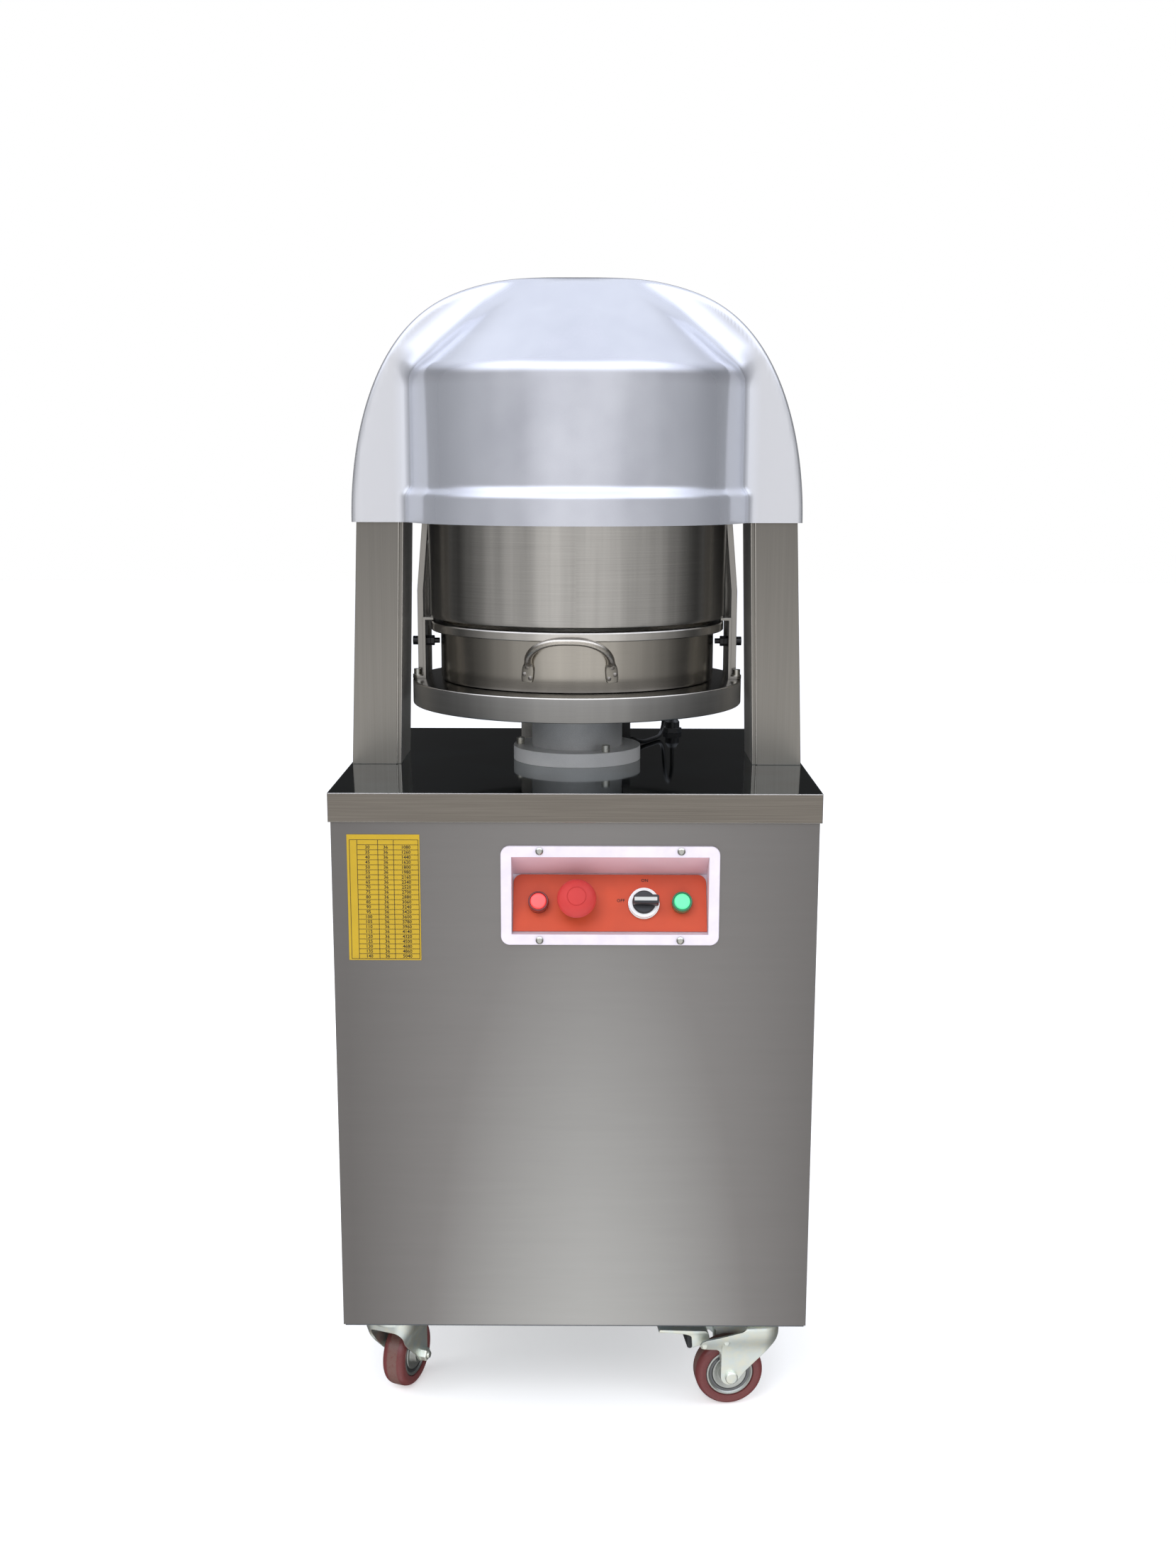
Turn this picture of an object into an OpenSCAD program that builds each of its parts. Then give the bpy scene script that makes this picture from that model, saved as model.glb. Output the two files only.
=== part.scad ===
// Hydraulic dough divider: a cabinet on casters, a lifting disc with a removable pan,
// and a cutting head that hangs from a bridge under a moulded hood.
// Millimetres. +Z is up, the operator stands at -Y and +X is to the operator's right.
// The origin lies on the floor under the middle of the table.

/* [Table and cabinet] */
// Width of the table top
table_w = 500; // [496:1:540]
// Depth of the table top
table_d = 436; // [432:1:480]
// Height of the table top above the floor
table_h = 693; // [660:1:760]
// Height of the skirt that is folded down round the table top
skirt_h = 30; // [20:1:60]
// Thickness of the table's sheet
sheet_t = 2; // [1:0.5:3]
// Thickness of the cabinet's panels
panel_t = 1.5; // [1:0.5:2.5]
// Side of the square tubes of the cabinet's frame
tube_w = 30; // [25:1:35]
// Wall of the square tubes
tube_wall = 2; // [1.5:0.5:4]
// Thickness of the base plate
base_t = 5; // [4:1:10]
// Thickness of the deck plate that carries the cylinder and the tie rods
deck_t = 12; // [10:1:20]
// Height from the floor to the underside of the base plate
caster_h = 110; // [108:1:120]

/* [Columns and bridge] */
// How far a column's outer face lies inside the table's edge
col_inset = 2; // [1:0.5:3]
// Width of a column seen from the front, at the table
col_w = 53.5; // [52:0.5:55]
// How far a column's outer face leans in over its height
col_lean = 11; // [9:0.5:12]
// How far a column's inner face leans in over its height
col_lean_in = 7.5; // [6:0.5:8]
// Depth of a column with its cover
col_d = 97; // [90:1:98]
// Height of the columns
col_h = 288; // [280:1:292]
// Width of the strip that a column's cover leaves bare at its inner edge
cover_strip = 5; // [3:0.5:8]
// Radius of the tie rods in the columns
rod_r = 8; // [6:0.5:9]
// Distance from a column's outer face to its tie rods
rod_in = 41; // [39:0.5:42]
// Distance from the middle to the tie rods, front and back
rod_y = 22; // [18:1:23]
// Thickness of the bridge's two arched plates
bridge_plate_t = 10; // [8:1:12]
// Distance between the outer faces of the arched plates
bridge_d = 96; // [90:1:99]
// Thickness of the bridge's foot plates and cross plate
bridge_foot_t = 12; // [10:1:14]

/* [Hood] */
// Height of the hood's lower edge above the table
hood_low = 265; // [262:1:270]
// Gap between the columns and the hood, at its lower edge
hood_gap = 1.6; // [1:0.1:3]
// Height of the hood's arch
hood_rise = 253; // [250:1:260]
// Depth of the hood's arch, front to back
hood_d = 108; // [107:1:114]
// Wall of the hood
hood_t = 4; // [3:0.5:4.5]
// Radius of the round band at the hood's lower edge
band_r = 192; // [190:1:198]
// Height of the round band
band_h = 27; // [20:1:34]
// Radius of the round bulge above the band
bulge_r = 186; // [183:1:190]
// Height of the bulge's upper crease above the hood's lower edge
bulge_h = 155; // [145:1:165]
// Radius at which the cone above the bulge ends
cone_r = 90; // [80:1:100]
// Height of the cone's upper end above the hood's lower edge
cone_h = 246; // [240:1:249]

/* [Lift] */
// Radius of the plunger of the lifting cylinder
ram_r = 51; // [46:0.5:54]
// Radius of the flange on the table
flange_r = 71.6; // [70:0.1:78]
// Thickness of the flange on the table
flange_t = 15.5; // [12:0.5:20]
// Radius of the circle of the flange's bolts
flange_bolt_r = 64; // [63:0.5:64.5]
// Radius of the flange's bolts
flange_bolt = 3; // [2.5:0.5:3.5]
// Wall of the cylinder
barrel_wall = 9; // [6:0.5:12]
// Length of the cylinder under the deck
barrel_h = 230; // [200:1:260]
// Radius of the lift disc
disc_r = 183.7; // [183:0.1:184.5]
// Thickness of the lift disc's rim and hub
disc_t = 26.4; // [22:0.2:30]
// Height of the lift disc's upper face above the table
disc_h = 92; // [88:1:100]
// Stroke of the lift
lift_stroke = 64; // [50:1:64]
// Width of the flat guide bar behind the plunger
guide_w = 30; // [20:1:36]
// Thickness of the flat guide bar
guide_t = 10; // [6:1:12]
// Left-right place of the guide bar's middle
guide_x = -54; // [-60:1:-40]
// Front-back place of the guide bar's middle
guide_y = 144; // [140:1:150]
// Length of the guide bar
guide_len = 200; // [180:1:240]

/* [Drum and tie bars] */
// Outer radius of the drum
drum_r = 164.7; // [163:0.1:166]
// Wall of the drum
drum_t = 2.5; // [1.5:0.5:4]
// Height of the drum
drum_h = 128.4; // [120:0.2:130]
// Gap between the pan's rim and the drum's lower edge
drum_gap = 5.1; // [4.6:0.1:8]
// Thickness of the tie bars
bar_t = 6.5; // [5:0.5:7]
// Width of the tie bars
bar_w = 18; // [14:1:20]
// Distance from the middle to the tie bars' inner face at the disc
bar_x = 171.4; // [171.4:0.1:172]
// Front-back place of the front tie bars' middle
bar_front_y = 2; // [1:0.5:4]
// Front-back place of the rear tie bars' middle
bar_rear_y = 47; // [42:1:50]
// How far the rear tie bars stand further in than the front ones at the disc
bar_rear_in = 3; // [2:0.5:6]
// Height above the disc at which the tie bars bend inward
bar_bend = 97; // [90:1:105]
// Height above the disc at which the tie bars reach the drum
bar_touch = 170; // [165:1:175]

/* [Pan] */
// Outer radius of the pan's body
pan_r = 152; // [150:0.5:154]
// Height of the pan
pan_h = 64.5; // [60:0.5:70]
// Wall of the pan
pan_wall = 2.5; // [1.5:0.5:3]
// Thickness of the pan's floor
pan_floor = 4; // [2:0.5:6]
// Outer radius of the pan's rim band
rim_r = 163; // [160:0.5:164]
// Height of the pan's rim band
rim_h = 9.5; // [7:0.5:12]
// How far the pan is turned on the disc, in degrees
pan_turn = -2.5; // [-8:0.5:8]
// Radius of the handle's tube
handle_tube = 4; // [3:0.5:5]
// Distance between the middles of a handle's two feet
handle_w = 86; // [80:1:100]
// Bend radius of the handle's tube
handle_bend = 31; // [20:1:35]
// How far the handle reaches from its feet
handle_reach = 36; // [34:1:42]
// Tilt of the handle away from upright, in degrees
handle_tilt = 43; // [35:1:50]
// Height of the handle's feet, from the pan's underside to the middle of the foot
handle_z = 21.5; // [18:0.5:26]

/* [Pan clamps] */
// Thickness of the clamp strap
strap_t = 3; // [2:0.5:3]
// Width of the clamp strap
strap_w = 27; // [22:1:27]
// Front-back place of the clamp strap's front edge
strap_front = -20; // [-22:0.5:-19]
// Gap between the pan's rim and the hook over it
hook_gap = 0.7; // [0.5:0.1:1]
// Front-back place of the stop bolts
stop_y = 1; // [0:0.5:2]
// Height of the stop bolts above the disc
stop_z = 40.7; // [36:0.1:46]
// Gap between a stop bolt and the pan's wall
stop_gap = 2.3; // [0.5:0.1:4]
// Radius of the stop bolts
stop_r = 3; // [2.5:0.5:3]

/* [Cutting head] */
// Radius of the cutting head
head_r = 147.5; // [146:0.1:148]
// How far the head's lower face lies above the drum's lower edge
head_up = 3.4; // [1:0.1:5]
// Thickness of the knives
blade_t = 1.5; // [1:0.1:2]
// Height of the knives
blade_h = 56; // [54:1:58]
// Thickness of the plate that carries the knives
carrier_t = 16; // [12:1:18]
// Clearance between a pressing segment and the knives
cell_gap = 0.6; // [0.4:0.1:1]
// Thickness of the pressing segments
segment_t = 14; // [10:1:16]
// Radius of the segments' stems
stem_r = 5; // [4:0.5:5]
// Thickness of the plate that carries the pressing segments
press_t = 10; // [8:1:12]
// Radius of the plate that carries the pressing segments
press_r = 140; // [134:1:146]
// Length of the return springs at rest
spring_len = 60; // [58:1:62]
// Radius of the head's post
post_r = 28; // [22:0.5:29]

/* [Controls] */
// Left-right place of the middle of the control recess
ctl_x = 35.8; // [20:0.1:50]
// Distance from the table top down to the middle of the control frame
ctl_drop = 105.9; // [100:0.1:140]
// Width of the control frame
ctl_w = 222.7; // [216:0.1:236]
// Height of the control frame
ctl_h = 103.4; // [102:0.1:110]
// Corner radius of the control frame
ctl_r = 9; // [5:0.5:12]
// How far the control frame stands out from the front panel
ctl_proud = 3; // [2:0.5:4]
// Width of the control plate
plate_w = 200; // [192:1:204]
// Length of the control plate along its slope
plate_h = 62; // [58:1:63]
// Tilt of the control plate away from upright, in degrees
plate_tilt = 28; // [20:1:32]
// Radius of the mushroom button's head
mushroom_r = 20; // [17:0.5:22]
// Travel of the mushroom button
button_travel = 4; // [3:0.5:5]
// Width of the chart label
chart_w = 74; // [60:1:90]
// Height of the chart label
chart_h = 132; // [100:1:160]
// Distance from the table top down to the chart label's upper edge
chart_drop = 43; // [36:1:60]
// Left-right place of the chart label's left edge
chart_x = -231.7; // [-236:0.1:-210]

/* [Power unit] */
// Width of the oil tank
tank_w = 250; // [230:1:270]
// Depth of the oil tank
tank_d = 260; // [240:1:300]
// Height of the oil tank
tank_h = 180; // [150:1:200]
// Wall of the oil tank
tank_t = 3; // [2:0.5:5]
// Radius of the motor
motor_r = 66; // [55:1:68]
// Length of the motor without its fan cover
motor_h = 150; // [130:1:170]
// Radius of the oil pipe
pipe_r = 6; // [4:0.5:8]

/* [Casters] */
// Distance from the cabinet's sides to the casters' swivels
caster_in_x = 46; // [38:1:48]
// Distance from the cabinet's front and back to the casters' swivels
caster_in_y = 48; // [42:1:48]
// Radius of the wheels
wheel_r = 37.5; // [35:0.5:38]
// Width of the wheels
wheel_w = 26; // [22:1:28]
// Distance from a swivel to its wheel's axle
trail = 33; // [30:0.5:35]
// Radius of the axles
axle_r = 4; // [3:0.5:5]

/* [Hidden] */
$fn = 96;

// Clearances
fit = 0.05;       // running fit, radial
loose = 0.2;      // a bolt in its hole, radial, and a butt joint between frame tubes
seat = 0.3;       // parts that face each other without touching
skirt_gap = 0.3;  // between the table's skirt and the cabinet
eps = 0.01;       // overlap that keeps cuts clean
over = 1;         // how far a cut runs past a face

// Levels, measured from the floor
deck_top = table_h - sheet_t;
deck_low = deck_top - deck_t;
base_low = caster_h;
base_top = base_low + base_t;
base_show = 2;
panel_low = base_low + base_show;
panel_top = deck_top - 1;
disc_top = table_h + disc_h;
disc_low = disc_top - disc_t;
rim_top = disc_top + pan_h;
drum_low = rim_top + drum_gap;
drum_top = drum_low + drum_h;
head_low = drum_low + head_up;
carrier_low = head_low + blade_h;
carrier_top = carrier_low + carrier_t;
cross_clear = 6;
cross_low = drum_top + lift_stroke + cross_clear;
press_top = cross_low - spring_len;
press_low = press_top - press_t;
col_top = table_h + col_h;
foot_top = col_top + bridge_foot_t;
hood_z = table_h + hood_low;
ctl_z = table_h - ctl_drop;

// Cabinet outline
cab_x = table_w / 2 - sheet_t - skirt_gap;
cab_y = table_d / 2 - sheet_t - skirt_gap;
in_x = cab_x - panel_t;
in_y = cab_y - panel_t;
frame_x = in_x - loose;
frame_y = in_y - loose;
caster_x = cab_x - caster_in_x;
caster_y = cab_y - caster_in_y;

// Columns, tie rods and hood follow the table's width
col_out = table_w / 2 - col_inset;
rod_x = col_out - rod_in;
hood_half = col_outer(hood_low) + hood_gap + hood_t;

// Control plate: where its foot is, how far up its controls sit, and the way out from it
front_y = -cab_y - ctl_proud;
plate_y = front_y + 5;
plate_z = ctl_z - 39.6;
control_v = 30;
function plate_point(v, h) = [
    plate_y + v * sin(plate_tilt) - h * cos(plate_tilt), plate_z + v * cos(plate_tilt) + h * sin(plate_tilt)];
mushroom_low = 20;
mushroom_h = 34;
// Box between two corners
module slab(x0, x1, y0, y1, z0, z1) {
    translate([x0, y0, z0])
        cube([x1 - x0, y1 - y0, z1 - z0]);
}

// Upright cylinder from one level to another
module rod_z(r, z0, z1, x = 0, y = 0) {
    translate([x, y, z0])
        cylinder(r = r, h = z1 - z0);
}

// Cylinder along X
module rod_along_x(r, x0, x1, y, z) {
    translate([x0, y, z])
        rotate([0, 90, 0])
            cylinder(r = r, h = x1 - x0);
}

// Cylinder along Y
module rod_along_y(r, y0, y1, x, z) {
    translate([x, y0, z])
        rotate([-90, 0, 0])
            cylinder(r = r, h = y1 - y0);
}

// Flat outline drawn in X and Z, given depth along Y
module upright(y0, y1) {
    translate([0, y1, 0])
        rotate([90, 0, 0])
            linear_extrude(height = y1 - y0)
                children();
}

module both_sides() {
    for (side = [0, 1])
        mirror([side, 0, 0])
            children();
}

// Hexagon nut or bolt head, its width given across flats
module hexagon(flats, z0, z1) {
    translate([0, 0, z0])
        cylinder(r = flats / 2 / cos(30), h = z1 - z0, $fn = 6);
}

// A round tube along points: unit vectors, then a frame that doesn't twist
function unit(v) = v / norm(v);
function tangents(p) = [for (i = [0 : len(p) - 1])
    unit(p[min(i + 1, len(p) - 1)] - p[max(i - 1, 0)])];
function normals(t, n, i = 0) = i >= len(t) ? []
    : let (m = unit(n - (n * t[i]) * t[i])) concat([m], normals(t, m, i + 1));

module tube_along(p, r, sides, first_normal) {
    t = tangents(p);
    n = normals(t, first_normal);
    last = len(p) - 1;
    points = [for (i = [0 : last], k = [0 : sides - 1])
        let (a = 360 * k / sides) p[i] + r * (cos(a) * n[i] + sin(a) * cross(t[i], n[i]))];
    walls = [for (i = [0 : last - 1], k = [0 : sides - 1], half = [0, 1])
        let (a = i * sides + k, b = i * sides + (k + 1) % sides)
        half == 0 ? [a, b + sides, b] : [a, a + sides, b + sides]];
    near = [for (k = [1 : sides - 2]) [0, k, k + 1]];
    far = [for (k = [1 : sides - 2]) [last * sides, last * sides + k + 1, last * sides + k]];
    polyhedron(points = points, faces = concat(walls, near, far));
}

// Table top: a tray with its skirt folded down, and the holes for what passes through
module table_top() {
    color("dimgray")
        difference() {
            slab(-table_w / 2, table_w / 2, -table_d / 2, table_d / 2, table_h - skirt_h, table_h);
            slab(-cab_x - skirt_gap, cab_x + skirt_gap, -cab_y - skirt_gap, cab_y + skirt_gap,
                table_h - skirt_h - over, deck_top);
            deck_holes(deck_top - over, table_h + over);
        }
}

// Every hole that goes through both the table's sheet and the deck plate
module deck_holes(z0, z1) {
    rod_z(barrel_bore, z0, z1);
    for (a = flange_angles)
        rotate([0, 0, a])
            rod_z(flange_bolt + loose, z0, z1, flange_bolt_r);
    slab(guide_x - guide_w / 2 - seat, guide_x + guide_w / 2 + seat,
        guide_y - guide_t / 2 - seat, guide_y + guide_t / 2 + seat, z0, z1);
    for (x = [-rod_x, rod_x], y = [-rod_y, rod_y])
        rod_z(rod_r + loose, z0, z1, x, y);
    rod_z(gland_r + loose, z0, z1, gland_at[0], gland_at[1]);
}

// Front panel with the opening for the control recess
module front_panel() {
    color("gray")
        difference() {
            slab(-cab_x, cab_x, -cab_y, -in_y, panel_low, panel_top);
            slab(ctl_x - box_w / 2 - loose, ctl_x + box_w / 2 + loose, -cab_y - over, -in_y + over,
                box_low - loose, box_top + loose);
            for (u = screw_u, v = screw_v)
                rod_along_y(screw_r + loose, -cab_y - over, -in_y + over, ctl_x + u, ctl_z + v);
        }
}

module side_panels() {
    color("gray")
        both_sides()
            slab(in_x, cab_x, -in_y, in_y, panel_low, panel_top);
}

// Rear panel: louvre slots low down, screw holes at its edges, a hole for the mains gland
louvre_n = 6;
louvre_pitch = 16;
louvre_len = 110;
louvre_slot = 4;
louvre_z = 40;
rear_screw_in = 15;
rear_screw_n = 4;
function rear_screw_z(i) = panel_low + rear_screw_in
    + i * (table_h - skirt_h - panel_low - 2 * rear_screw_in) / (rear_screw_n - 1);
module rear_panel() {
    color("gray")
        difference() {
            slab(-cab_x, cab_x, in_y, cab_y, panel_low, panel_top);
            for (x = [-in_x / 2, in_x / 2], i = [0 : louvre_n - 1])
                slab(x - louvre_len / 2, x + louvre_len / 2, in_y - over, cab_y + over,
                    panel_low + louvre_z + i * louvre_pitch,
                    panel_low + louvre_z + i * louvre_pitch + louvre_slot);
            for (x = [-in_x + rear_screw_in, in_x - rear_screw_in], i = [0 : rear_screw_n - 1])
                rod_along_y(screw_r + loose, in_y - over, cab_y + over, x, rear_screw_z(i));
            rod_along_y(gland_r + loose, in_y - over, cab_y + over, mains_x, mains_z);
        }
}

// Pan-head screws of the rear panel and of the control frame
screw_r = 2;
screw_head_r = 4;
screw_head_t = 2.2;
screw_len = 8;
screw_u = [-72, 72];
screw_v = [-ctl_h / 2 + 5, ctl_h / 2 - 5];
module pan_screw() {
    rotate_extrude()
        polygon([[0, 0], [screw_head_r, 0], [screw_head_r, screw_head_t / 2],
            [screw_head_r * 0.6, screw_head_t], [0, screw_head_t]]);
    rod_z(screw_r, -screw_len, eps);
}
module panel_screws() {
    color("silver") {
        for (x = [-in_x + rear_screw_in, in_x - rear_screw_in], i = [0 : rear_screw_n - 1])
            translate([x, cab_y, rear_screw_z(i)])
                rotate([-90, 0, 0])
                    pan_screw();
        for (u = screw_u, v = screw_v)
            translate([ctl_x + u, -cab_y - ctl_proud, ctl_z + v])
                rotate([90, 0, 0])
                    pan_screw();
    }
}

// Base plate: the casters are bolted under it
module base_plate() {
    color("darkgray")
        difference() {
            slab(-in_x + loose, in_x - loose, -in_y + loose, in_y - loose, base_low, base_top);
            at_casters()
                caster_bolt_holes(base_low - over, base_top + over);
        }
}

// Cabinet frame: four posts, with rails between them at the top and the bottom
module square_tube(len) {
    difference() {
        cube([tube_w, tube_w, len]);
        translate([tube_wall, tube_wall, -over])
            cube([tube_w - 2 * tube_wall, tube_w - 2 * tube_wall, len + 2 * over]);
    }
}
module cabinet_frame() {
    rail_x = 2 * (frame_x - tube_w - loose);
    rail_y = 2 * (frame_y - tube_w - loose);
    color("slategray")
        difference() {
            for (z = [base_top, deck_low - tube_w]) {
                for (y = [-frame_y, frame_y - tube_w])
                    translate([-rail_x / 2, y, z + tube_w])
                        rotate([0, 90, 0])
                            square_tube(rail_x);
                for (x = [-frame_x, frame_x - tube_w])
                    translate([x, rail_y / 2, z])
                        rotate([90, 0, 0])
                            square_tube(rail_y);
            }
            frame_holes();
            rod_z(gland_r + loose, deck_low - tube_w / 2, deck_low + over, gland_at[0], gland_at[1]);
        }
    color("slategray")
        difference() {
            for (x = [-frame_x, frame_x - tube_w], y = [-frame_y, frame_y - tube_w])
                translate([x, y, base_top])
                    square_tube(deck_low - base_top);
            frame_holes();
        }
}
module frame_holes() {
    for (x = [-in_x + rear_screw_in, in_x - rear_screw_in], i = [0 : rear_screw_n - 1])
        rod_along_y(screw_r + loose, in_y - screw_len - over, in_y, x, rear_screw_z(i));
    at_casters()
        caster_bolt_holes(base_top - over, base_top + bolt_room);
}

// Deck plate: the bed of the press, under the table's sheet
module deck_plate() {
    color("slategray")
        difference() {
            slab(-frame_x, frame_x, -frame_y, frame_y, deck_low, deck_top);
            deck_holes(deck_low - over, deck_top + over);
        }
}

// Columns: folded sheet that leans inward, drawn as a sloping outline with depth
col_t = 2;
cover_t = 2;
cover_seam = 0.2;
function col_outer(h) = col_out - col_lean * h / col_h;
function col_inner(h) = col_out - col_w - col_lean_in * h / col_h;
module column_outline(inset, past) {
    polygon([
        [col_inner(-past) + inset, -past], [col_outer(-past) - inset, -past],
        [col_outer(col_h + past) - inset, col_h + past],
        [col_inner(col_h + past) + inset, col_h + past]]);
}
module columns() {
    color("rosybrown")
        both_sides()
            translate([0, 0, table_h])
                difference() {
                    upright(-col_d / 2 + cover_t + cover_seam, col_d / 2)
                        column_outline(0, 0);
                    upright(-col_d / 2 + cover_t + cover_seam + col_t, col_d / 2 - col_t)
                        column_outline(col_t, over);
                }
}
module column_covers() {
    color("rosybrown")
        both_sides()
            translate([0, 0, table_h])
                upright(-col_d / 2, -col_d / 2 + cover_t)
                    polygon([
                        [col_inner(0) + cover_strip, 0], [col_outer(0), 0],
                        [col_outer(col_h), col_h], [col_inner(col_h) + cover_strip, col_h]]);
}

// Tie rods: screwed into the deck, up through the columns, with nuts on the bridge's feet
nut_flats = 24;
nut_h = 13;
module tie_rods() {
    color("silver")
        for (x = [-rod_x, rod_x], y = [-rod_y, rod_y]) {
            rod_z(rod_r, deck_low + 1, foot_top + nut_h + 4, x, y);
            translate([x, y, foot_top])
                difference() {
                    hexagon(nut_flats, 0, nut_h);
                    rod_z(rod_r + loose, -over, nut_h + over);
                }
        }
}

// The arch shared by the hood and the bridge: half-width and rise give the outline
arch_steps = 24;
arch_power = 0.566;
function arch_points(a, b) = concat(
    [for (i = [0 : arch_steps]) [a * pow(cos(90 * i / arch_steps), arch_power), b * sin(90 * i / arch_steps)]],
    [for (i = [arch_steps - 1 : -1 : 0])
        [-a * pow(cos(90 * i / arch_steps), arch_power), b * sin(90 * i / arch_steps)]]);
module arch(a, b) {
    polygon(arch_points(a, b));
}

// Head bridge: two arched plates on foot plates, joined by a cross plate that holds the head
bar_seat = 0.3;
bridge_open = drum_r + bar_seat + bar_t + 4.5;
module head_bridge() {
    arch_a = hood_half - hood_t - seat;
    arch_b = hood_rise - hood_t - seat;
    color("slategray")
        difference() {
            union() {
                for (y = [-bridge_d / 2, bridge_d / 2 - bridge_plate_t])
                    translate([0, 0, hood_z])
                        upright(y, y + bridge_plate_t)
                            difference() {
                                arch(arch_a, arch_b);
                                translate([-table_w, -over])
                                    square([2 * table_w, col_top - hood_z + over]);
                                translate([-bridge_open, -over])
                                    square([2 * bridge_open, cross_low - hood_z + over]);
                            }
                slab(-bridge_open - eps, bridge_open + eps, -bridge_d / 2 + eps, bridge_d / 2 - eps,
                    cross_low, cross_low + bridge_foot_t);
                both_sides()
                    slab(col_inner(col_h), col_outer(col_h), -bridge_d / 2, bridge_d / 2,
                        col_top, foot_top);
            }
            for (x = [-rod_x, rod_x], y = [-rod_y, rod_y])
                rod_z(rod_r + loose, col_top - over, foot_top + over, x, y);
            rod_z(post_neck + loose, cross_low - over, cross_low + bridge_foot_t + over);
        }
}

// Hood: an arched body and a round bulge with a cone above it, moulded as one shell
module hood_form(inset) {
    low = inset > 0 ? -over : 0;
    translate([0, 0, hood_z])
        upright(-hood_d / 2 + inset, hood_d / 2 - inset)
            union() {
                arch(hood_half - inset, hood_rise - inset);
                translate([-hood_half + inset, low])
                    square([2 * (hood_half - inset), -low + eps]);
            }
    translate([0, 0, hood_z])
        rotate_extrude()
            polygon([
                [0, low], [band_r - inset, low], [band_r - inset, band_h],
                [bulge_r - inset, band_h + flare_h], [bulge_r - inset, bulge_h - inset / 2],
                [cone_r - inset / 2, cone_h - inset], [cone_r / 2, cap_h - inset - 1],
                [0, cap_h - inset]]);
}
flare_h = 13;
cap_h = hood_rise + 2;
module hood() {
    color("lightsteelblue")
        difference() {
            hood_form(0);
            hood_form(hood_t);
        }
}

// Head post: hangs from the bridge's cross plate and carries the knives
post_neck = 12;
module head_post() {
    color("silver") {
        rod_z(post_r, carrier_top, cross_low);
        rod_z(post_neck, cross_low - eps, cross_low + bridge_foot_t + nut_h + 4);
        translate([0, 0, cross_low + bridge_foot_t])
            difference() {
                hexagon(2 * post_r - 20, 0, nut_h);
                rod_z(post_neck + loose, -over, nut_h + over);
            }
    }
}

// The head's pattern: rings of equal cells, six, twelve and eighteen of them
ring_cells = [6, 12, 18];
cell_total = 36;
function cells_within(i) = i < 0 ? 0 : ring_cells[i] + cells_within(i - 1);
function ring_out(i) = (head_r - blade_t) * sqrt(cells_within(i) / cell_total);
function ring_in(i) = i == 0 ? 0 : ring_out(i - 1);
function stem_at(i) = i == 0 ? post_r + stem_r + 5 : (ring_in(i) + ring_out(i)) / 2;
stem_hole_gap = 0.3;
module knife_grid() {
    color("gainsboro")
        difference() {
            union() {
                rod_z(head_r, carrier_low, carrier_top);
                for (i = [0 : len(ring_cells) - 1]) {
                    difference() {
                        rod_z(ring_out(i) + blade_t / 2 + (i == 2 ? blade_t / 2 : 0), head_low, carrier_low + eps);
                        rod_z(ring_out(i) - blade_t / 2, head_low - over, carrier_low + over);
                    }
                    for (k = [0 : ring_cells[i] - 1])
                        rotate([0, 0, k * 360 / ring_cells[i]])
                            slab(max(ring_in(i), 0), ring_out(i), -blade_t / 2, blade_t / 2,
                                head_low, carrier_low + eps);
                }
            }
            at_cells()
                rod_z(stem_r + stem_hole_gap, carrier_low - over, carrier_top + over, stem_at($ring));
        }
}

// Places its children once for each cell, turned so that the cell's middle lies on X
module at_cells() {
    for (i = [0 : len(ring_cells) - 1], k = [0 : ring_cells[i] - 1]) {
        $ring = i;
        rotate([0, 0, (k + 0.5) * 360 / ring_cells[i]])
            children();
    }
}

// One pressing segment: a sector that fills its cell but for the clearance, on its stem
module segment(i) {
    half = 180 / ring_cells[i];
    inset = blade_t / 2 + cell_gap;
    apex = inset / sin(half);
    far = 2 * head_r;
    intersection() {
        difference() {
            rod_z(ring_out(i) - inset, head_low, head_low + segment_t);
            if (i > 0)
                rod_z(ring_in(i) + inset, head_low - over, head_low + segment_t + over);
        }
        translate([apex, 0, head_low - over])
            linear_extrude(height = segment_t + 2 * over)
                polygon([[0, 0], [far * cos(half), -far * sin(half)], [far * cos(half), far * sin(half)]]);
    }
    rod_z(stem_r, head_low + segment_t - eps, press_low, stem_at(i));
}
module press_segments() {
    color("whitesmoke")
        at_cells()
            segment($ring);
}
module press_carrier() {
    color("silver")
        difference() {
            rod_z(press_r, press_low, press_top);
            rod_z(post_r + fit, press_low - over, press_top + over);
        }
}

// Return springs between the pressing carrier and the bridge
spring_r = 10;
spring_wire = 1.6;
spring_turns = 5;
spring_at = 95;
spring_angles = [20, 160, 200, 340];
spring_end = spring_wire + seat;
module press_springs() {
    steps = spring_turns * 8;
    coil = [for (i = [0 : steps])
        [spring_r * cos(45 * i), spring_r * sin(45 * i),
            press_top + spring_end + (spring_len - 2 * spring_end) * i / steps]];
    color("dimgray")
        for (a = spring_angles)
            rotate([0, 0, a])
                translate([spring_at, 0, 0])
                    rotate([0, 0, -a])
                        tube_along(coil, spring_wire, 6, [1, 0, 0]);
}

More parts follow.
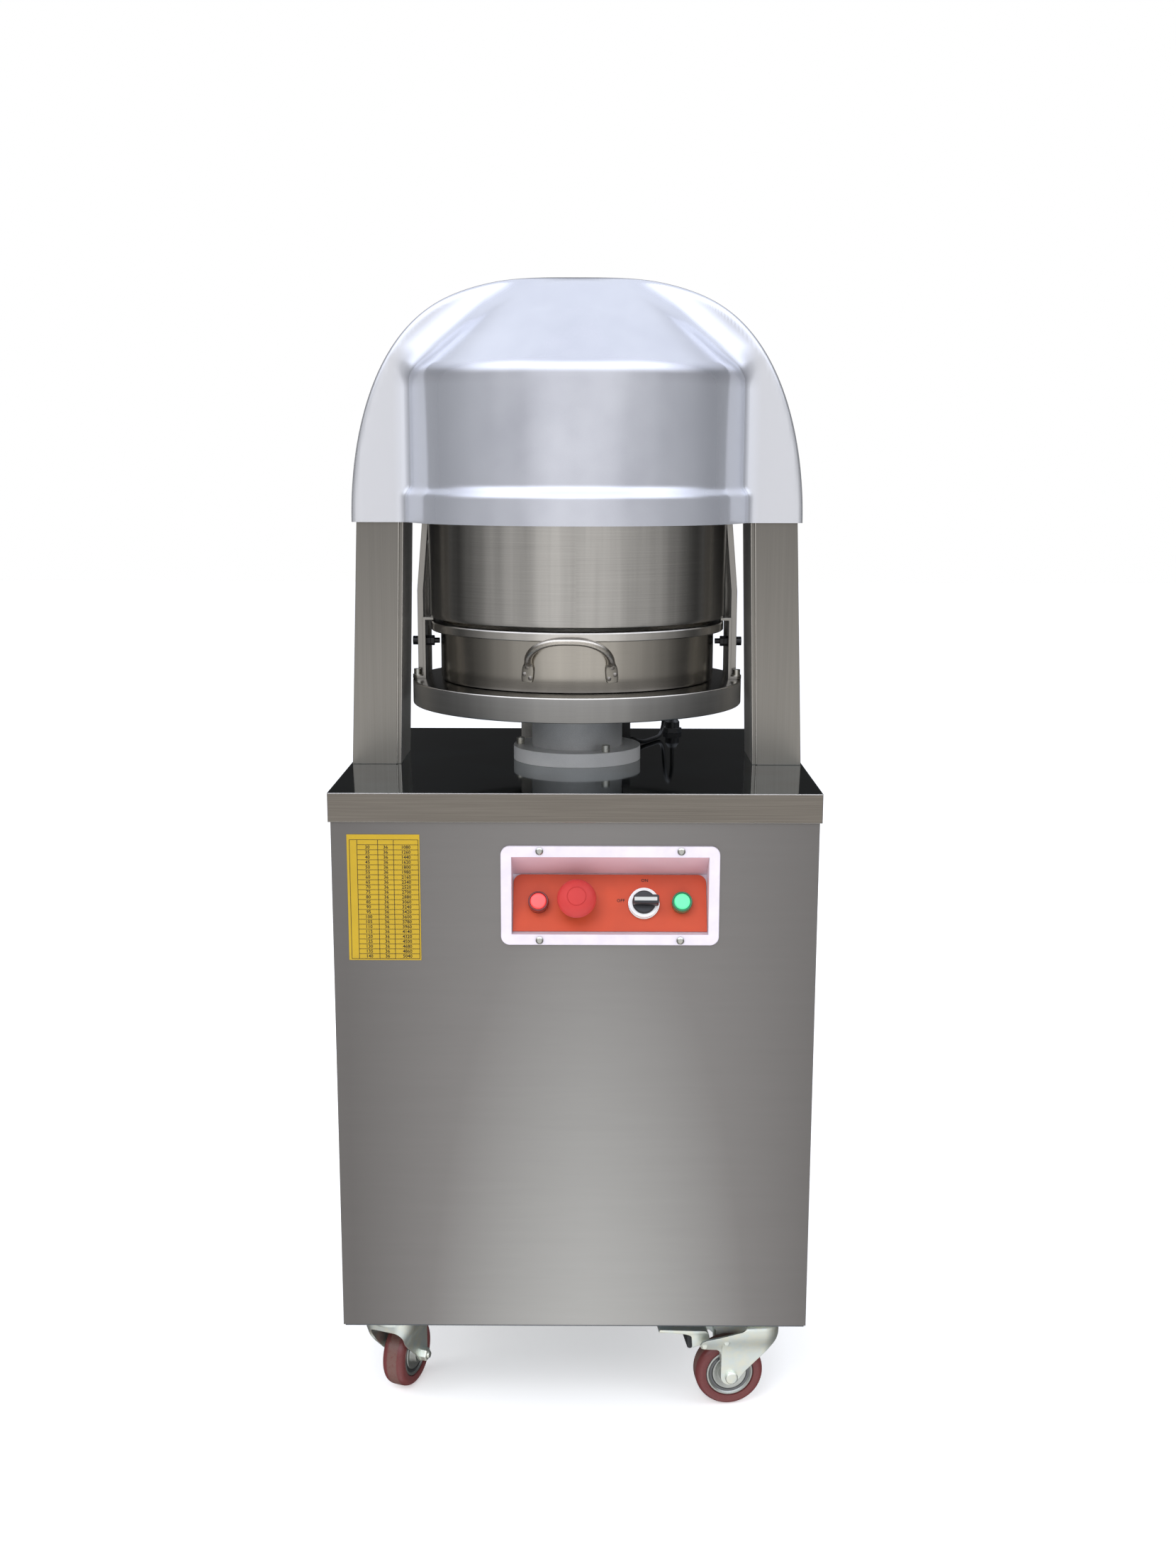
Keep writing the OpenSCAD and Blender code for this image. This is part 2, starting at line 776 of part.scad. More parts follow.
// Flange on the table: guides the plunger
flange_angles = [180, 300, 60];
module base_flange() {
    color("darkgray")
        difference() {
            rod_z(flange_r, table_h, table_h + flange_t);
            rod_z(ram_r + fit, table_h - over, table_h + flange_t + over);
            for (a = flange_angles)
                rotate([0, 0, a])
                    rod_z(flange_bolt + loose, table_h - over, table_h + flange_t + over, flange_bolt_r);
        }
}
flange_head_r = 4.6;
flange_head_h = 7.6;
socket_r = 2.4;
socket_depth = 4;
module flange_bolts() {
    head_z = table_h + flange_t;
    color("silver")
        for (a = flange_angles)
            rotate([0, 0, a])
                translate([flange_bolt_r, 0, 0])
                    difference() {
                        union() {
                            rod_z(flange_bolt, deck_low - barrel_flange_t, head_z + eps);
                            rod_z(flange_head_r, head_z, head_z + flange_head_h);
                        }
                        hexagon(2 * socket_r, head_z + flange_head_h - socket_depth,
                            head_z + flange_head_h + over);
                    }
}

// Cylinder: hangs under the deck, closed at its lower end, with the oil port at the back
barrel_bore = ram_r + 2;
barrel_flange_t = 14;
barrel_flange_r = flange_r + 6;
barrel_low = deck_low - barrel_h;
port_z = barrel_low + 30;
port_r = 12;
port_reach = 14;
module cylinder_barrel() {
    color("darkslategray")
        difference() {
            union() {
                rod_z(barrel_bore + barrel_wall, barrel_low, deck_low);
                rod_z(barrel_flange_r, deck_low - barrel_flange_t, deck_low);
                rod_along_y(port_r, barrel_bore + barrel_wall / 2, port_face, 0, port_z);
            }
            rod_z(barrel_bore, barrel_low + barrel_wall, deck_low + over);
            rod_along_y(pipe_r + loose, 0, port_face + over, 0, port_z);
            for (a = flange_angles)
                rotate([0, 0, a])
                    rod_z(flange_bolt + loose, deck_low - barrel_flange_t - over, deck_low + over,
                        flange_bolt_r);
        }
}
port_face = barrel_bore + barrel_wall + port_reach;

// Lift disc: a rim and a hub under a web, with tapped holes for the clamps
web_t = 12;
rim_w = 16;
hub_r = ram_r + 10;
module lift_disc() {
    color("gray")
        difference() {
            rotate_extrude()
                polygon([
                    [0, disc_low], [hub_r, disc_low], [hub_r, disc_top - web_t],
                    [disc_r - rim_w, disc_top - web_t], [disc_r - rim_w, disc_low],
                    [disc_r, disc_low], [disc_r, disc_top], [0, disc_top]]);
            both_sides()
                rod_z(foot_bolt + loose, disc_top - foot_bolt_deep - 1, disc_top + over, foot_x, foot_y);
        }
}
ram_low_gap = 6;
module ram() {
    color("lightgray")
        rod_z(ram_r, barrel_low + barrel_wall + ram_low_gap, disc_low);
}
module guide_bar() {
    color("wheat")
        slab(guide_x - guide_w / 2, guide_x + guide_w / 2, guide_y - guide_t / 2, guide_y + guide_t / 2,
            disc_top - web_t - guide_len, disc_top - web_t);
}

// Drum: an open ring that travels with the disc
module drum() {
    color("gainsboro")
        difference() {
            rod_z(drum_r, drum_low, drum_top);
            rod_z(drum_r - drum_t, drum_low - over, drum_top + over);
        }
}

// Tie bars: from the disc up and inward to the drum's side
function drum_edge(y) = sqrt(drum_r * drum_r - y * y);
module tie_bar(x_low, y_mid) {
    y_near = max(0, abs(y_mid) - bar_w / 2);
    x_high = drum_edge(y_near) + bar_seat;
    upright(y_mid - bar_w / 2, y_mid + bar_w / 2)
        polygon([
            [x_low, disc_top], [x_low + bar_t, disc_top], [x_low + bar_t, disc_top + bar_bend],
            [x_high + bar_t, disc_top + bar_touch], [x_high + bar_t, drum_top - 2],
            [x_high, drum_top - 2], [x_high, disc_top + bar_touch], [x_low, disc_top + bar_bend]]);
}
module tie_bars() {
    color("silver")
        both_sides() {
            difference() {
                tie_bar(bar_x, bar_front_y);
                rod_along_x(stop_r + loose, bar_x - over, bar_x + bar_t + over, stop_y, disc_top + stop_z);
            }
            tie_bar(bar_x - bar_rear_in, bar_rear_y);
        }
}

// Pan clamps: a lug on the disc's edge, a strap up, and a hook over the pan's rim
strap_x = bar_x - loose - strap_t;
lug_w = bar_front_y - bar_w / 2 - 0.4 - strap_front;
lug_end = disc_r - 0.4;
hook_in = rim_r - 4;
hook_low = pan_h + hook_gap;
foot_bolt = 2.5;
foot_bolt_deep = 11;
foot_x = bar_x + bar_t + 0.1;
foot_y = strap_front + lug_w / 2;
module pan_clamps() {
    color("silver")
        both_sides()
            difference() {
                union() {
                    slab(strap_x, strap_x + strap_t, strap_front, strap_front + strap_w,
                        disc_top, disc_top + hook_low + strap_t);
                    slab(hook_in, strap_x + eps, strap_front, strap_front + strap_w,
                        disc_top + hook_low, disc_top + hook_low + strap_t);
                    slab(strap_x + strap_t - eps, lug_end - lug_w / 2, strap_front, strap_front + lug_w,
                        disc_top, disc_top + strap_t);
                    rod_z(lug_w / 2, disc_top, disc_top + strap_t, lug_end - lug_w / 2, foot_y);
                }
                rod_z(foot_bolt + loose, disc_top - over, disc_top + strap_t + over, foot_x, foot_y);
                rod_along_x(stop_r + loose, strap_x - over, strap_x + strap_t + over, stop_y,
                    disc_top + stop_z);
            }
}

// The clamps' bolts: foot bolts with washers, and stop bolts with two lock nuts each
washer_t = 1.4;
foot_head_r = 4.2;
foot_head_h = 6;
stop_head_r = 5;
stop_head_h = 6;
stop_nut = 10;
stop_nut_h = 4;
module clamp_bolts() {
    foot_seat = disc_top + strap_t + washer_t;
    color("dimgray")
        both_sides() {
            difference() {
                union() {
                    rod_z(foot_bolt, disc_top - foot_bolt_deep, foot_seat + eps, foot_x, foot_y);
                    rod_z(foot_head_r, foot_seat, foot_seat + foot_head_h, foot_x, foot_y);
                    rod_z(lug_w / 2 - 0.2, disc_top + strap_t, foot_seat, foot_x - 0.8, foot_y);
                }
                translate([foot_x, foot_y, 0])
                    hexagon(2 * foot_bolt - 1, foot_seat + foot_head_h - 3, foot_seat + foot_head_h + over);
            }
            translate([0, stop_y, disc_top + stop_z])
                rotate([0, 90, 0]) {
                    difference() {
                        union() {
                            rod_z(stop_r, pan_r + stop_gap, bar_x + bar_t + eps);
                            rod_z(stop_head_r, bar_x + bar_t, bar_x + bar_t + stop_head_h);
                        }
                        hexagon(2 * stop_r - 1, bar_x + bar_t + stop_head_h - 3, bar_x + bar_t + stop_head_h + over);
                    }
                    for (i = [0, 1])
                        difference() {
                            hexagon(stop_nut, strap_x - (i + 1) * stop_nut_h - i * loose,
                                strap_x - i * (stop_nut_h + loose));
                            rod_z(stop_r + loose / 2, strap_x - 3 * stop_nut_h, strap_x + over);
                        }
                }
        }
}

// Pan: a flat floor, an upright wall and a folded rim band
module pan() {
    color("silver")
        difference() {
            rotate_extrude()
                polygon([
                    [0, disc_top], [pan_r - 3, disc_top], [pan_r, disc_top + 3],
                    [pan_r, rim_top - pan_wall], [rim_r - pan_wall, rim_top - pan_wall],
                    [rim_r - pan_wall, rim_top - rim_h], [rim_r, rim_top - rim_h],
                    [rim_r, rim_top], [pan_r - pan_wall, rim_top],
                    [pan_r - pan_wall, disc_top + pan_floor + 3],
                    [pan_r - pan_wall - 3, disc_top + pan_floor], [0, disc_top + pan_floor]]);
            at_handle_feet()
                at_rivets()
                    rod_z(rivet_r + fit, -pan_wall - over, over);
        }
}

// Handles, front and back: a bent tube between two flattened feet
foot_plate_w = 12.5;
foot_plate_h = 19;
foot_plate_t = 2.5;
rivet_r = 1.5;
rivet_head_r = 2.1;
rivet_head_t = 0.9;
rivet_spots = [[0.5, 6], [3.6, -1.5], [-3, -5.5]];
foot_angle = asin(handle_w / 2 / pan_r);
module at_handle_feet() {
    for (back = [0, 180], side = [-1, 1])
        rotate([0, 0, pan_turn + back + side * foot_angle])
            translate([0, -pan_r - loose, disc_top + handle_z])
                rotate([90, 0, 0])
                    scale([side, 1, 1])
                        children();
}
module at_rivets() {
    for (spot = rivet_spots)
        translate([spot[0], spot[1], 0])
            children();
}
module handle_arch() {
    straight = handle_w / 2 - handle_bend;
    leg = handle_reach - handle_bend;
    both_sides() {
        translate([handle_w / 2, 0, -2])
            cylinder(r = handle_tube, h = leg + 2);
        translate([straight, 0, leg])
            rotate([90, 0, 0])
                rotate_extrude(angle = 90)
                    translate([handle_bend, 0])
                        circle(r = handle_tube);
    }
    translate([-straight, 0, leg + handle_bend])
        rotate([0, 90, 0])
            cylinder(r = handle_tube, h = 2 * straight);
}
module pan_handles() {
    arch_y = -pan_r * cos(foot_angle) - loose - foot_plate_t;
    color("lightgray") {
        difference() {
            union() {
                at_handle_feet()
                    translate([-foot_plate_w / 2, -foot_plate_h / 2, 0])
                        cube([foot_plate_w, foot_plate_h, foot_plate_t]);
                for (back = [0, 180])
                    rotate([0, 0, pan_turn + back])
                        translate([0, arch_y, disc_top + handle_z + foot_plate_h / 2 - 1])
                            rotate([handle_tilt, 0, 0])
                                handle_arch();
            }
            at_handle_feet()
                at_rivets()
                    rod_z(rivet_r + fit, -over, foot_plate_t + over);
            rod_z(pan_r + loose / 2, disc_top - over, rim_top);
        }
        at_handle_feet()
            at_rivets() {
                rod_z(rivet_r, -pan_wall, foot_plate_t + eps);
                rod_z(rivet_head_r, foot_plate_t, foot_plate_t + rivet_head_t);
            }
    }
}

// Limit switch behind the plunger: its push rod stops just under the disc
switch_at = [51, 83];
switch_w = 22;
switch_h = 46;
switch_pin = 3;
module limit_switch() {
    color("black") {
        slab(switch_at[0] - switch_w / 2, switch_at[0] + switch_w / 2,
            switch_at[1] - switch_w / 2, switch_at[1] + switch_w / 2, table_h, table_h + switch_h);
        rod_z(switch_pin, table_h + switch_h - eps, disc_top - web_t - seat, switch_at[0], switch_at[1]);
    }
}

// Cable from the limit switch: along the table, up, over and down into its gland.
// The points give places on the table, heights are above the table top.
cable_r = 2.5;
cable_route = [[62, 83, 8], [66, 83, 8], [70, 85, 6], [75, 90, 4], [80, 98, 3], [85, 107, 3], [90, 117, 3],
    [95, 127, 3], [99, 136, 4], [102, 144, 8], [104, 149, 15], [105, 152, 24], [106, 154, 34],
    [107, 157, 44], [109, 162, 53], [112, 169, 58], [114, 177, 57], [116, 183, 51], [117, 187, 43],
    [117, 188, 34], [117, 188, 26], [117, 188, 17], [117, 188, 8]];
module switch_cable() {
    color("black")
        tube_along([for (p = cable_route) p + [0, 0, table_h]], cable_r, 8, [0, 0, 1]);
}

// Cable glands: one on the table for the switch cable, one at the back for the mains cable.
// Their domes reach as far behind the cabinet as the mushroom button does in front of it.
gland_r = 8;
gland_at = [117, 188];
mains_x = 150;
mains_z = 210;
mains_bore = 4.5;
gland_flats = 20;
gland_hex_h = 6;
gland_cap_h = 5.2;
nose = -plate_point(control_v - mushroom_r + 8, mushroom_h - 1.2)[0] - cab_y;
module gland(thread, bore) {
    difference() {
        union() {
            rod_z(gland_r, -thread, eps);
            hexagon(gland_flats, 0, gland_hex_h);
            rotate_extrude()
                polygon([[0, gland_hex_h - eps], [gland_flats / 2 - 1, gland_hex_h - eps],
                    [gland_flats / 2 - 1, nose - gland_cap_h], [bore + 2.5, nose], [0, nose]]);
        }
        rod_z(bore, -thread - over, nose + over);
    }
}
module cable_glands() {
    color("black") {
        translate([gland_at[0], gland_at[1], table_h])
            gland(sheet_t + deck_t + 4, cable_r + loose);
        translate([mains_x, cab_y, mains_z])
            rotate([-90, 0, 0])
                gland(panel_t + 10, mains_bore);
    }
}

// Oil tank on the base plate, with a lid that carries the motor, the pump and the valve block
tank_right = 40;
tank_y = -tank_d / 2 + 10;
tank_low = base_top;
tank_top = tank_low + tank_h;
motor_x = tank_right - tank_w + motor_r + 6;
motor_y = -20;
cap_at = [-20, -85];
cap_r = 18;
module oil_tank() {
    color("darkolivegreen")
        difference() {
            slab(tank_right - tank_w, tank_right, tank_y, tank_y + tank_d, tank_low, tank_top);
            slab(tank_right - tank_w + tank_t, tank_right - tank_t, tank_y + tank_t, tank_y + tank_d - tank_t,
                tank_low + tank_t, tank_top - tank_t);
            rod_z(coupling_r + 2, tank_top - tank_t - over, tank_top + over, motor_x, motor_y);
        }
    color("black")
        rod_z(cap_r, tank_top + loose, tank_top + 16, cap_at[0], cap_at[1]);
}
coupling_r = 14;
motor_flange_t = 10;
fan_h = 34;
fin_n = 24;
fin_deep = 4;
module motor() {
    z0 = tank_top;
    color("steelblue")
        translate([motor_x, motor_y, 0])
            difference() {
                union() {
                    rod_z(motor_r, z0, z0 + motor_flange_t);
                    rod_z(motor_r - fin_deep, z0 + motor_flange_t - eps, z0 + motor_h);
                    for (k = [0 : fin_n - 1])
                        rotate([0, 0, k * 360 / fin_n])
                            slab(motor_r - 2 * fin_deep, motor_r, -1.2, 1.2, z0 + motor_flange_t - eps,
                                z0 + motor_h);
                    rod_z(motor_r, z0 + motor_h - eps, z0 + motor_h + fan_h);
                }
                rod_z(coupling_r + loose, z0 - over, z0 + motor_flange_t + 4);
            }
}

// Gear pump under the tank's lid, its shaft reaching up into the motor
pump_w = 70;
pump_h = 90;
module pump() {
    color("gray")
        translate([motor_x, motor_y, 0]) {
            slab(-pump_w / 2, pump_w / 2, -pump_w / 2, pump_w / 2,
                tank_top - tank_t - seat - pump_h, tank_top - tank_t - seat);
            rod_z(coupling_r, tank_top - tank_t - seat - eps, tank_top + motor_flange_t);
        }
}

// Valve block with a solenoid on each side
bend_r = 24;
block_w = 60;
block_d = 56;
block_h = 54;
block_y = port_face + bend_r;
solenoid_r = 17;
solenoid_len = 46;
module valve_block() {
    mid = tank_top + block_h / 2;
    color("silver")
        difference() {
            slab(-block_w / 2, block_w / 2, block_y - block_d / 2, block_y + block_d / 2, tank_top,
                tank_top + block_h);
            rod_z(pipe_r + loose, tank_top + block_h - pipe_deep, tank_top + block_h + over, 0, block_y);
        }
    color("black")
        both_sides()
            rod_along_x(solenoid_r, block_w / 2 + loose, block_w / 2 + solenoid_len, block_y, mid);
}

// Oil pipe: up from the valve block and round a bend into the cylinder's port
pipe_deep = 12;
module oil_pipe() {
    color("silver") {
        rod_z(pipe_r, tank_top + block_h - pipe_deep + seat, port_z - bend_r + eps, 0, block_y);
        translate([0, port_face, port_z - bend_r])
            rotate([90, 0, 90])
                rotate_extrude(angle = 90)
                    translate([bend_r, 0])
                        circle(r = pipe_r, $fn = 48);
        rod_along_y(pipe_r, port_face - pipe_deep, port_face + eps, 0, port_z);
    }
}

// Electrical plate across the right-hand posts, with its gear on two rails
elec_low = 330;
elec_top = 600;
elec_t = 2;
module electrical_plate() {
    x1 = frame_x - tube_w - loose;
    color("lightgray")
        slab(x1 - elec_t, x1, -frame_y + 6, frame_y - 6, elec_low, elec_top);
}
gear_deep = 44;
gear_rails = [60, 180];
rail_h = 35;
rail_deep = 8;
rail_half = 150;
relay_w = 44;
relay_step = relay_w + 8;
relay_past = 20;
terminal_w = 10;
terminal_step = terminal_w + 1;
terminal_past = 10;
module electrical_gear() {
    x1 = frame_x - tube_w - loose - elec_t;
    x0 = x1 - rail_deep;
    color("dimgray") {
        for (z = gear_rails)
            slab(x0, x1, -rail_half, rail_half, elec_low + z, elec_low + z + rail_h);
        for (i = [0 : 3])
            let (y = -rail_half + 10 + i * relay_step, z = elec_low + gear_rails[1])
                slab(x0 - gear_deep - i % 2 * 20, x0, y, y + relay_w, z - relay_past, z + rail_h + relay_past);
        for (i = [0 : 11])
            let (y = -rail_half + 30 + i * terminal_step, z = elec_low + gear_rails[0])
                slab(x0 - gear_deep, x0, y, y + terminal_w, z - terminal_past, z + rail_h + terminal_past);
    }
}

// Control recess: drawn from the side, with the plate's foot near the front face
plate_t = 2;
wall = 2.5;
mouth_top = ctl_z + ctl_h / 2 - 11.3;
mouth_w = plate_w + 1;
box_w = mouth_w + 2 * wall;
box_low = plate_z - 8;
box_top = mouth_top + wall;
module on_plate(u = 0, v = 0, h = 0) {
    translate([ctl_x, plate_y, plate_z])
        rotate([90 - plate_tilt, 0, 0])
            translate([u, v, h])
                children();
}
module side_view(x0, x1) {
    translate([x0, 0, 0])
        rotate([90, 0, 90])
            linear_extrude(height = x1 - x0)
                children();
}
module control_frame() {
    back = plate_point(plate_h, -plate_t);
    foot = plate_point(0, -plate_t);
    color("lavender")
        difference() {
            union() {
                upright(front_y, -cab_y)
                    translate([ctl_x, ctl_z])
                        rounded(ctl_w, ctl_h, ctl_r);
                side_view(ctl_x - box_w / 2, ctl_x + box_w / 2)
                    polygon([
                        [-cab_y - eps, box_top], [back[0] + wall, back[1] + wall],
                        [back[0] + wall, back[1] - wall], [foot[0] + wall, box_low],
                        [-cab_y - eps, box_low]]);
            }
            side_view(ctl_x - mouth_w / 2, ctl_x + mouth_w / 2)
                polygon([
                    [front_y - over, mouth_top], [front_y, mouth_top], back, foot,
                    [front_y, foot[1]], [front_y - over, foot[1]]]);
            for (u = screw_u, v = screw_v)
                rod_along_y(screw_r + loose, front_y - over, front_y + screw_len + over, ctl_x + u, ctl_z + v);
            for (c = control_spots)
                on_plate(c[0], control_v, -plate_t - 3 * wall - 10)
                    cylinder(r = c[1] + 1, h = 3 * wall + 11);
        }
}
module rounded(w, h, r) {
    square([w - 2 * r, h], center = true);
    square([w, h - 2 * r], center = true);
    for (x = [-w / 2 + r, w / 2 - r], y = [-h / 2 + r, h / 2 - r])
        translate([x, y])
            circle(r = r);
}

// Control plate: the upper corners are round. Each control has its place and body radius
lamp_body = 8;
switch_body = 11;
red_u = -73.5;
start_u = -34;
selector_u = 35;
green_u = 74;
control_spots = [[red_u, lamp_body], [start_u, switch_body], [selector_u, switch_body], [green_u, lamp_body]];
plate_corner = 9;
module control_plate() {
    w = plate_w / 2 - seat;
    color("orangered")
        on_plate(0, 0, -plate_t + seat)
            difference() {
                linear_extrude(height = plate_t - seat)
                    union() {
                        translate([-w, 1])
                            square([2 * w, plate_h - plate_corner - 2]);
                        translate([-w + plate_corner, 1])
                            square([2 * (w - plate_corner), plate_h - 2]);
                        for (x = [-w + plate_corner, w - plate_corner])
                            translate([x, plate_h - plate_corner - 1])
                                circle(r = plate_corner);
                    }
                for (c = control_spots)
                    translate([c[0], control_v, -over])
                        cylinder(r = c[1] + loose, h = plate_t + 2 * over);
            }
}
lamp_r = 10.5;
lens_r = 8.6;
lamp_h = 13;
lamp_deep = 30;
module lamp(tint) {
    color("black") {
        difference() {
            union() {
                cylinder(r = lamp_r, h = lamp_h - 1);
                translate([0, 0, -lamp_deep])
                    cylinder(r = lamp_body, h = lamp_deep + eps);
            }
            translate([0, 0, lamp_h - 5])
                cylinder(r = lens_r + loose, h = 5);
        }
    }
    color(tint)
        translate([0, 0, lamp_h - 5 + loose])
            cylinder(r = lens_r, h = 5);
}
module red_lamp() {
    on_plate(red_u, control_v)
        lamp("red");
}
module green_lamp() {
    on_plate(green_u, control_v)
        lamp("green");
}

// Fixed halves of the push button and the selector, with their contact blocks
collar_r = 14.5;
collar_h = 9;
stem = 7;
bezel_r = 15.4;
bezel_h = 7;
knob_r = 12;
contact_w = 30;
contact_h = 26;
contact_deep = 34;
body_deep = 14;
module switch_bodies() {
    color("dimgray")
        for (u = [start_u, selector_u])
            on_plate(u, control_v)
                translate([0, 0, -body_deep - contact_deep])
                    translate([-contact_w / 2, -contact_h / 2, 0])
                        cube([contact_w, contact_h, contact_deep]);
    color("black")
        on_plate(start_u, control_v)
            difference() {
                union() {
                    cylinder(r = collar_r, h = collar_h);
                    translate([0, 0, -body_deep + loose])
                        cylinder(r = switch_body, h = body_deep);
                }
                translate([0, 0, -button_travel - over])
                    cylinder(r = stem + fit, h = collar_h + button_travel + 2 * over);
            }
    color("silver")
        on_plate(selector_u, control_v)
            difference() {
                union() {
                    cylinder(r = bezel_r, h = bezel_h);
                    translate([0, 0, -body_deep + loose])
                        cylinder(r = switch_body, h = body_deep);
                }
                translate([0, 0, 2])
                    cylinder(r = knob_r + fit, h = bezel_h);
            }
}
module start_button() {
    color("red")
        on_plate(start_u, control_v)
            rotate_extrude()
                polygon([
                    [0, seat], [stem, seat], [stem, mushroom_low - 3], [mushroom_r - 6, mushroom_low - 2],
                    [mushroom_r - 1, mushroom_low], [mushroom_r, mushroom_low + 3],
                    [mushroom_r - 0.6, mushroom_low + 6.5], [mushroom_r - 3, mushroom_low + 10],
                    [mushroom_r - 8, mushroom_h - 1.2], [mushroom_r - 14, mushroom_h - 0.2], [0, mushroom_h]]);
}
grip_w = 9.5;
grip_left = 11;
grip_right = 15;
knob_top = 17;
grip_top = 24;
module selector_knob() {
    color("black")
        on_plate(selector_u, control_v) {
            translate([0, 0, 2 + seat])
                cylinder(r = knob_r, h = knob_top - 2 - seat);
            translate([-grip_left, -grip_w / 2, bezel_h + 2])
                cube([grip_left + grip_right, grip_w, grip_top - bezel_h - 2]);
        }
}

// Chart label on the front panel
chart_t = 0.5;
module chart_label() {
    color("gold")
        slab(chart_x, chart_x + chart_w, -cab_y - chart_t, -cab_y, table_h - chart_drop - chart_h,
            table_h - chart_drop);
}

// Casters: a fixed plate with the upper race, a fork that swivels, a wheel, and on two a brake pedal
caster_turn = [69, 187, 285, 250];
caster_side = [[-1, -1], [1, -1], [-1, 1], [1, 1]];
plate_side = 64;
caster_plate_t = 3;
race_r = 23;
race_low = caster_h - 9;
king_r = 6;
caster_bolt_at = 23;
caster_bolt = 4;
caster_nut = 13;
bolt_room = 9;
module at_caster(i) {
    translate([caster_side[i][0] * caster_x, caster_side[i][1] * caster_y, 0])
        rotate([0, 0, caster_turn[i]])
            children();
}
module at_casters() {
    for (i = [0 : 3])
        translate([caster_side[i][0] * caster_x, caster_side[i][1] * caster_y, 0])
            children();
}
module caster_bolt_holes(z0, z1) {
    for (x = [-1, 1], y = [-1, 1])
        rod_z(caster_bolt + loose, z0, z1, x * caster_bolt_at, y * caster_bolt_at);
}
module caster_plates() {
    color("silver")
        at_casters()
            difference() {
                union() {
                    slab(-plate_side / 2, plate_side / 2, -plate_side / 2, plate_side / 2,
                        caster_h - caster_plate_t, caster_h);
                    rod_z(race_r, race_low + seat, caster_h - caster_plate_t + eps);
                }
                rod_z(king_r + fit, race_low - over, caster_h - 1);
                caster_bolt_holes(race_low, caster_h + over);
            }
}
module caster_bolts() {
    color("gray")
        at_casters()
            for (x = [-1, 1], y = [-1, 1])
                translate([x * caster_bolt_at, y * caster_bolt_at, 0]) {
                    rod_z(caster_bolt, caster_h - caster_plate_t - eps, base_top + bolt_room - over);
                    hexagon(caster_nut, caster_h - caster_plate_t - 4.5, caster_h - caster_plate_t);
                }
}

// Fork: one bent sheet, wide under the race and close to the wheel, and cut to its side view
fork_in = 17.5;
fork_t = 2.5;
pedal_s = trail + 31;
pedal_z = race_low - 22;
pedal_pin = 2.5;
neck = race_low - 1;
fork_front = 20;
fork_long = 120;
crown_y = 30;
crown_bend = 18;
leg = [[-fork_front, neck + over], [-fork_front, neck - 9], [-15, neck - 20], [-6, neck - 33], [4, neck - 43],
    [trail - 15, wheel_r + 6], [trail - 8, wheel_r - 4], [trail - 3, wheel_r - 9], [trail + 3, wheel_r - 9],
    [trail + 9, wheel_r - 5], [trail + 12, wheel_r + 1]];
plain_side = concat(leg, [[trail + 11, neck - 34], [trail + 9, neck - 22], [trail, neck - 10],
    [trail - 13, neck + over]]);
brake_side = concat(leg, [[trail + 11, neck - 35], [trail + 17, neck - 28], [pedal_s, pedal_z - 5.5],
    [pedal_s + 5, pedal_z - 2], [pedal_s + 4, pedal_z + 5], [trail + 18, neck - 11], [trail - 11, neck - 5],
    [trail - 16, neck + over]]);
module bent_sheet(inset, low) {
    intersection() {
        translate([-fork_front + inset, 0, 0])
            rotate([90, 0, 90])
                linear_extrude(height = fork_long)
                    polygon([
                        for (side = [1, -1], i = [0 : 3])
                            let (k = side > 0 ? i : 3 - i)
                            [side * ([fork_in + fork_t, fork_in + fork_t, crown_y, crown_y][k] - inset),
                                [low, neck - 36, neck - 8, neck - inset][k]]]);
        translate([fork_long / 2 - fork_front, 0, low])
            linear_extrude(height = neck - low)
                rounded(fork_long - 2 * inset, 2 * (crown_y - inset), crown_bend - inset);
    }
}
module fork(braked) {
    color("lightgray") {
        difference() {
            union() {
                intersection() {
                    upright(-crown_y - over, crown_y + over)
                        polygon(braked ? brake_side : plain_side);
                    difference() {
                        bent_sheet(0, 0);
                        bent_sheet(fork_t, -over);
                    }
                }
                rod_z(race_r + 1, neck - 6, race_low);
                rod_z(king_r, race_low - eps, caster_h - caster_plate_t - 0.5);
            }
            rod_along_y(axle_r + loose, -fork_in - fork_t - over, fork_in + fork_t + over, trail, wheel_r);
        }
        if (braked)
            rod_along_y(pedal_pin, -crown_y + 2, crown_y - 2, pedal_s, pedal_z);
        translate([trail, 0, wheel_r])
            rotate([-90, 0, 0]) {
                rod_z(axle_r, -fork_in - fork_t - 9, fork_in + fork_t + eps);
                rod_z(7, fork_in + fork_t, fork_in + fork_t + 4);
                difference() {
                    hexagon(13, -fork_in - fork_t - 7, -fork_in - fork_t);
                    rod_z(axle_r + loose / 2, -fork_in - fork_t - 8, -fork_in - fork_t + over);
                }
            }
    }
}
module fork_front_left() {
    at_caster(0)
        fork(false);
}
module fork_front_right() {
    at_caster(1)
        fork(true);
}
module fork_rear_left() {
    at_caster(2)
        fork(true);
}
module fork_rear_right() {
    at_caster(3)
        fork(false);
}

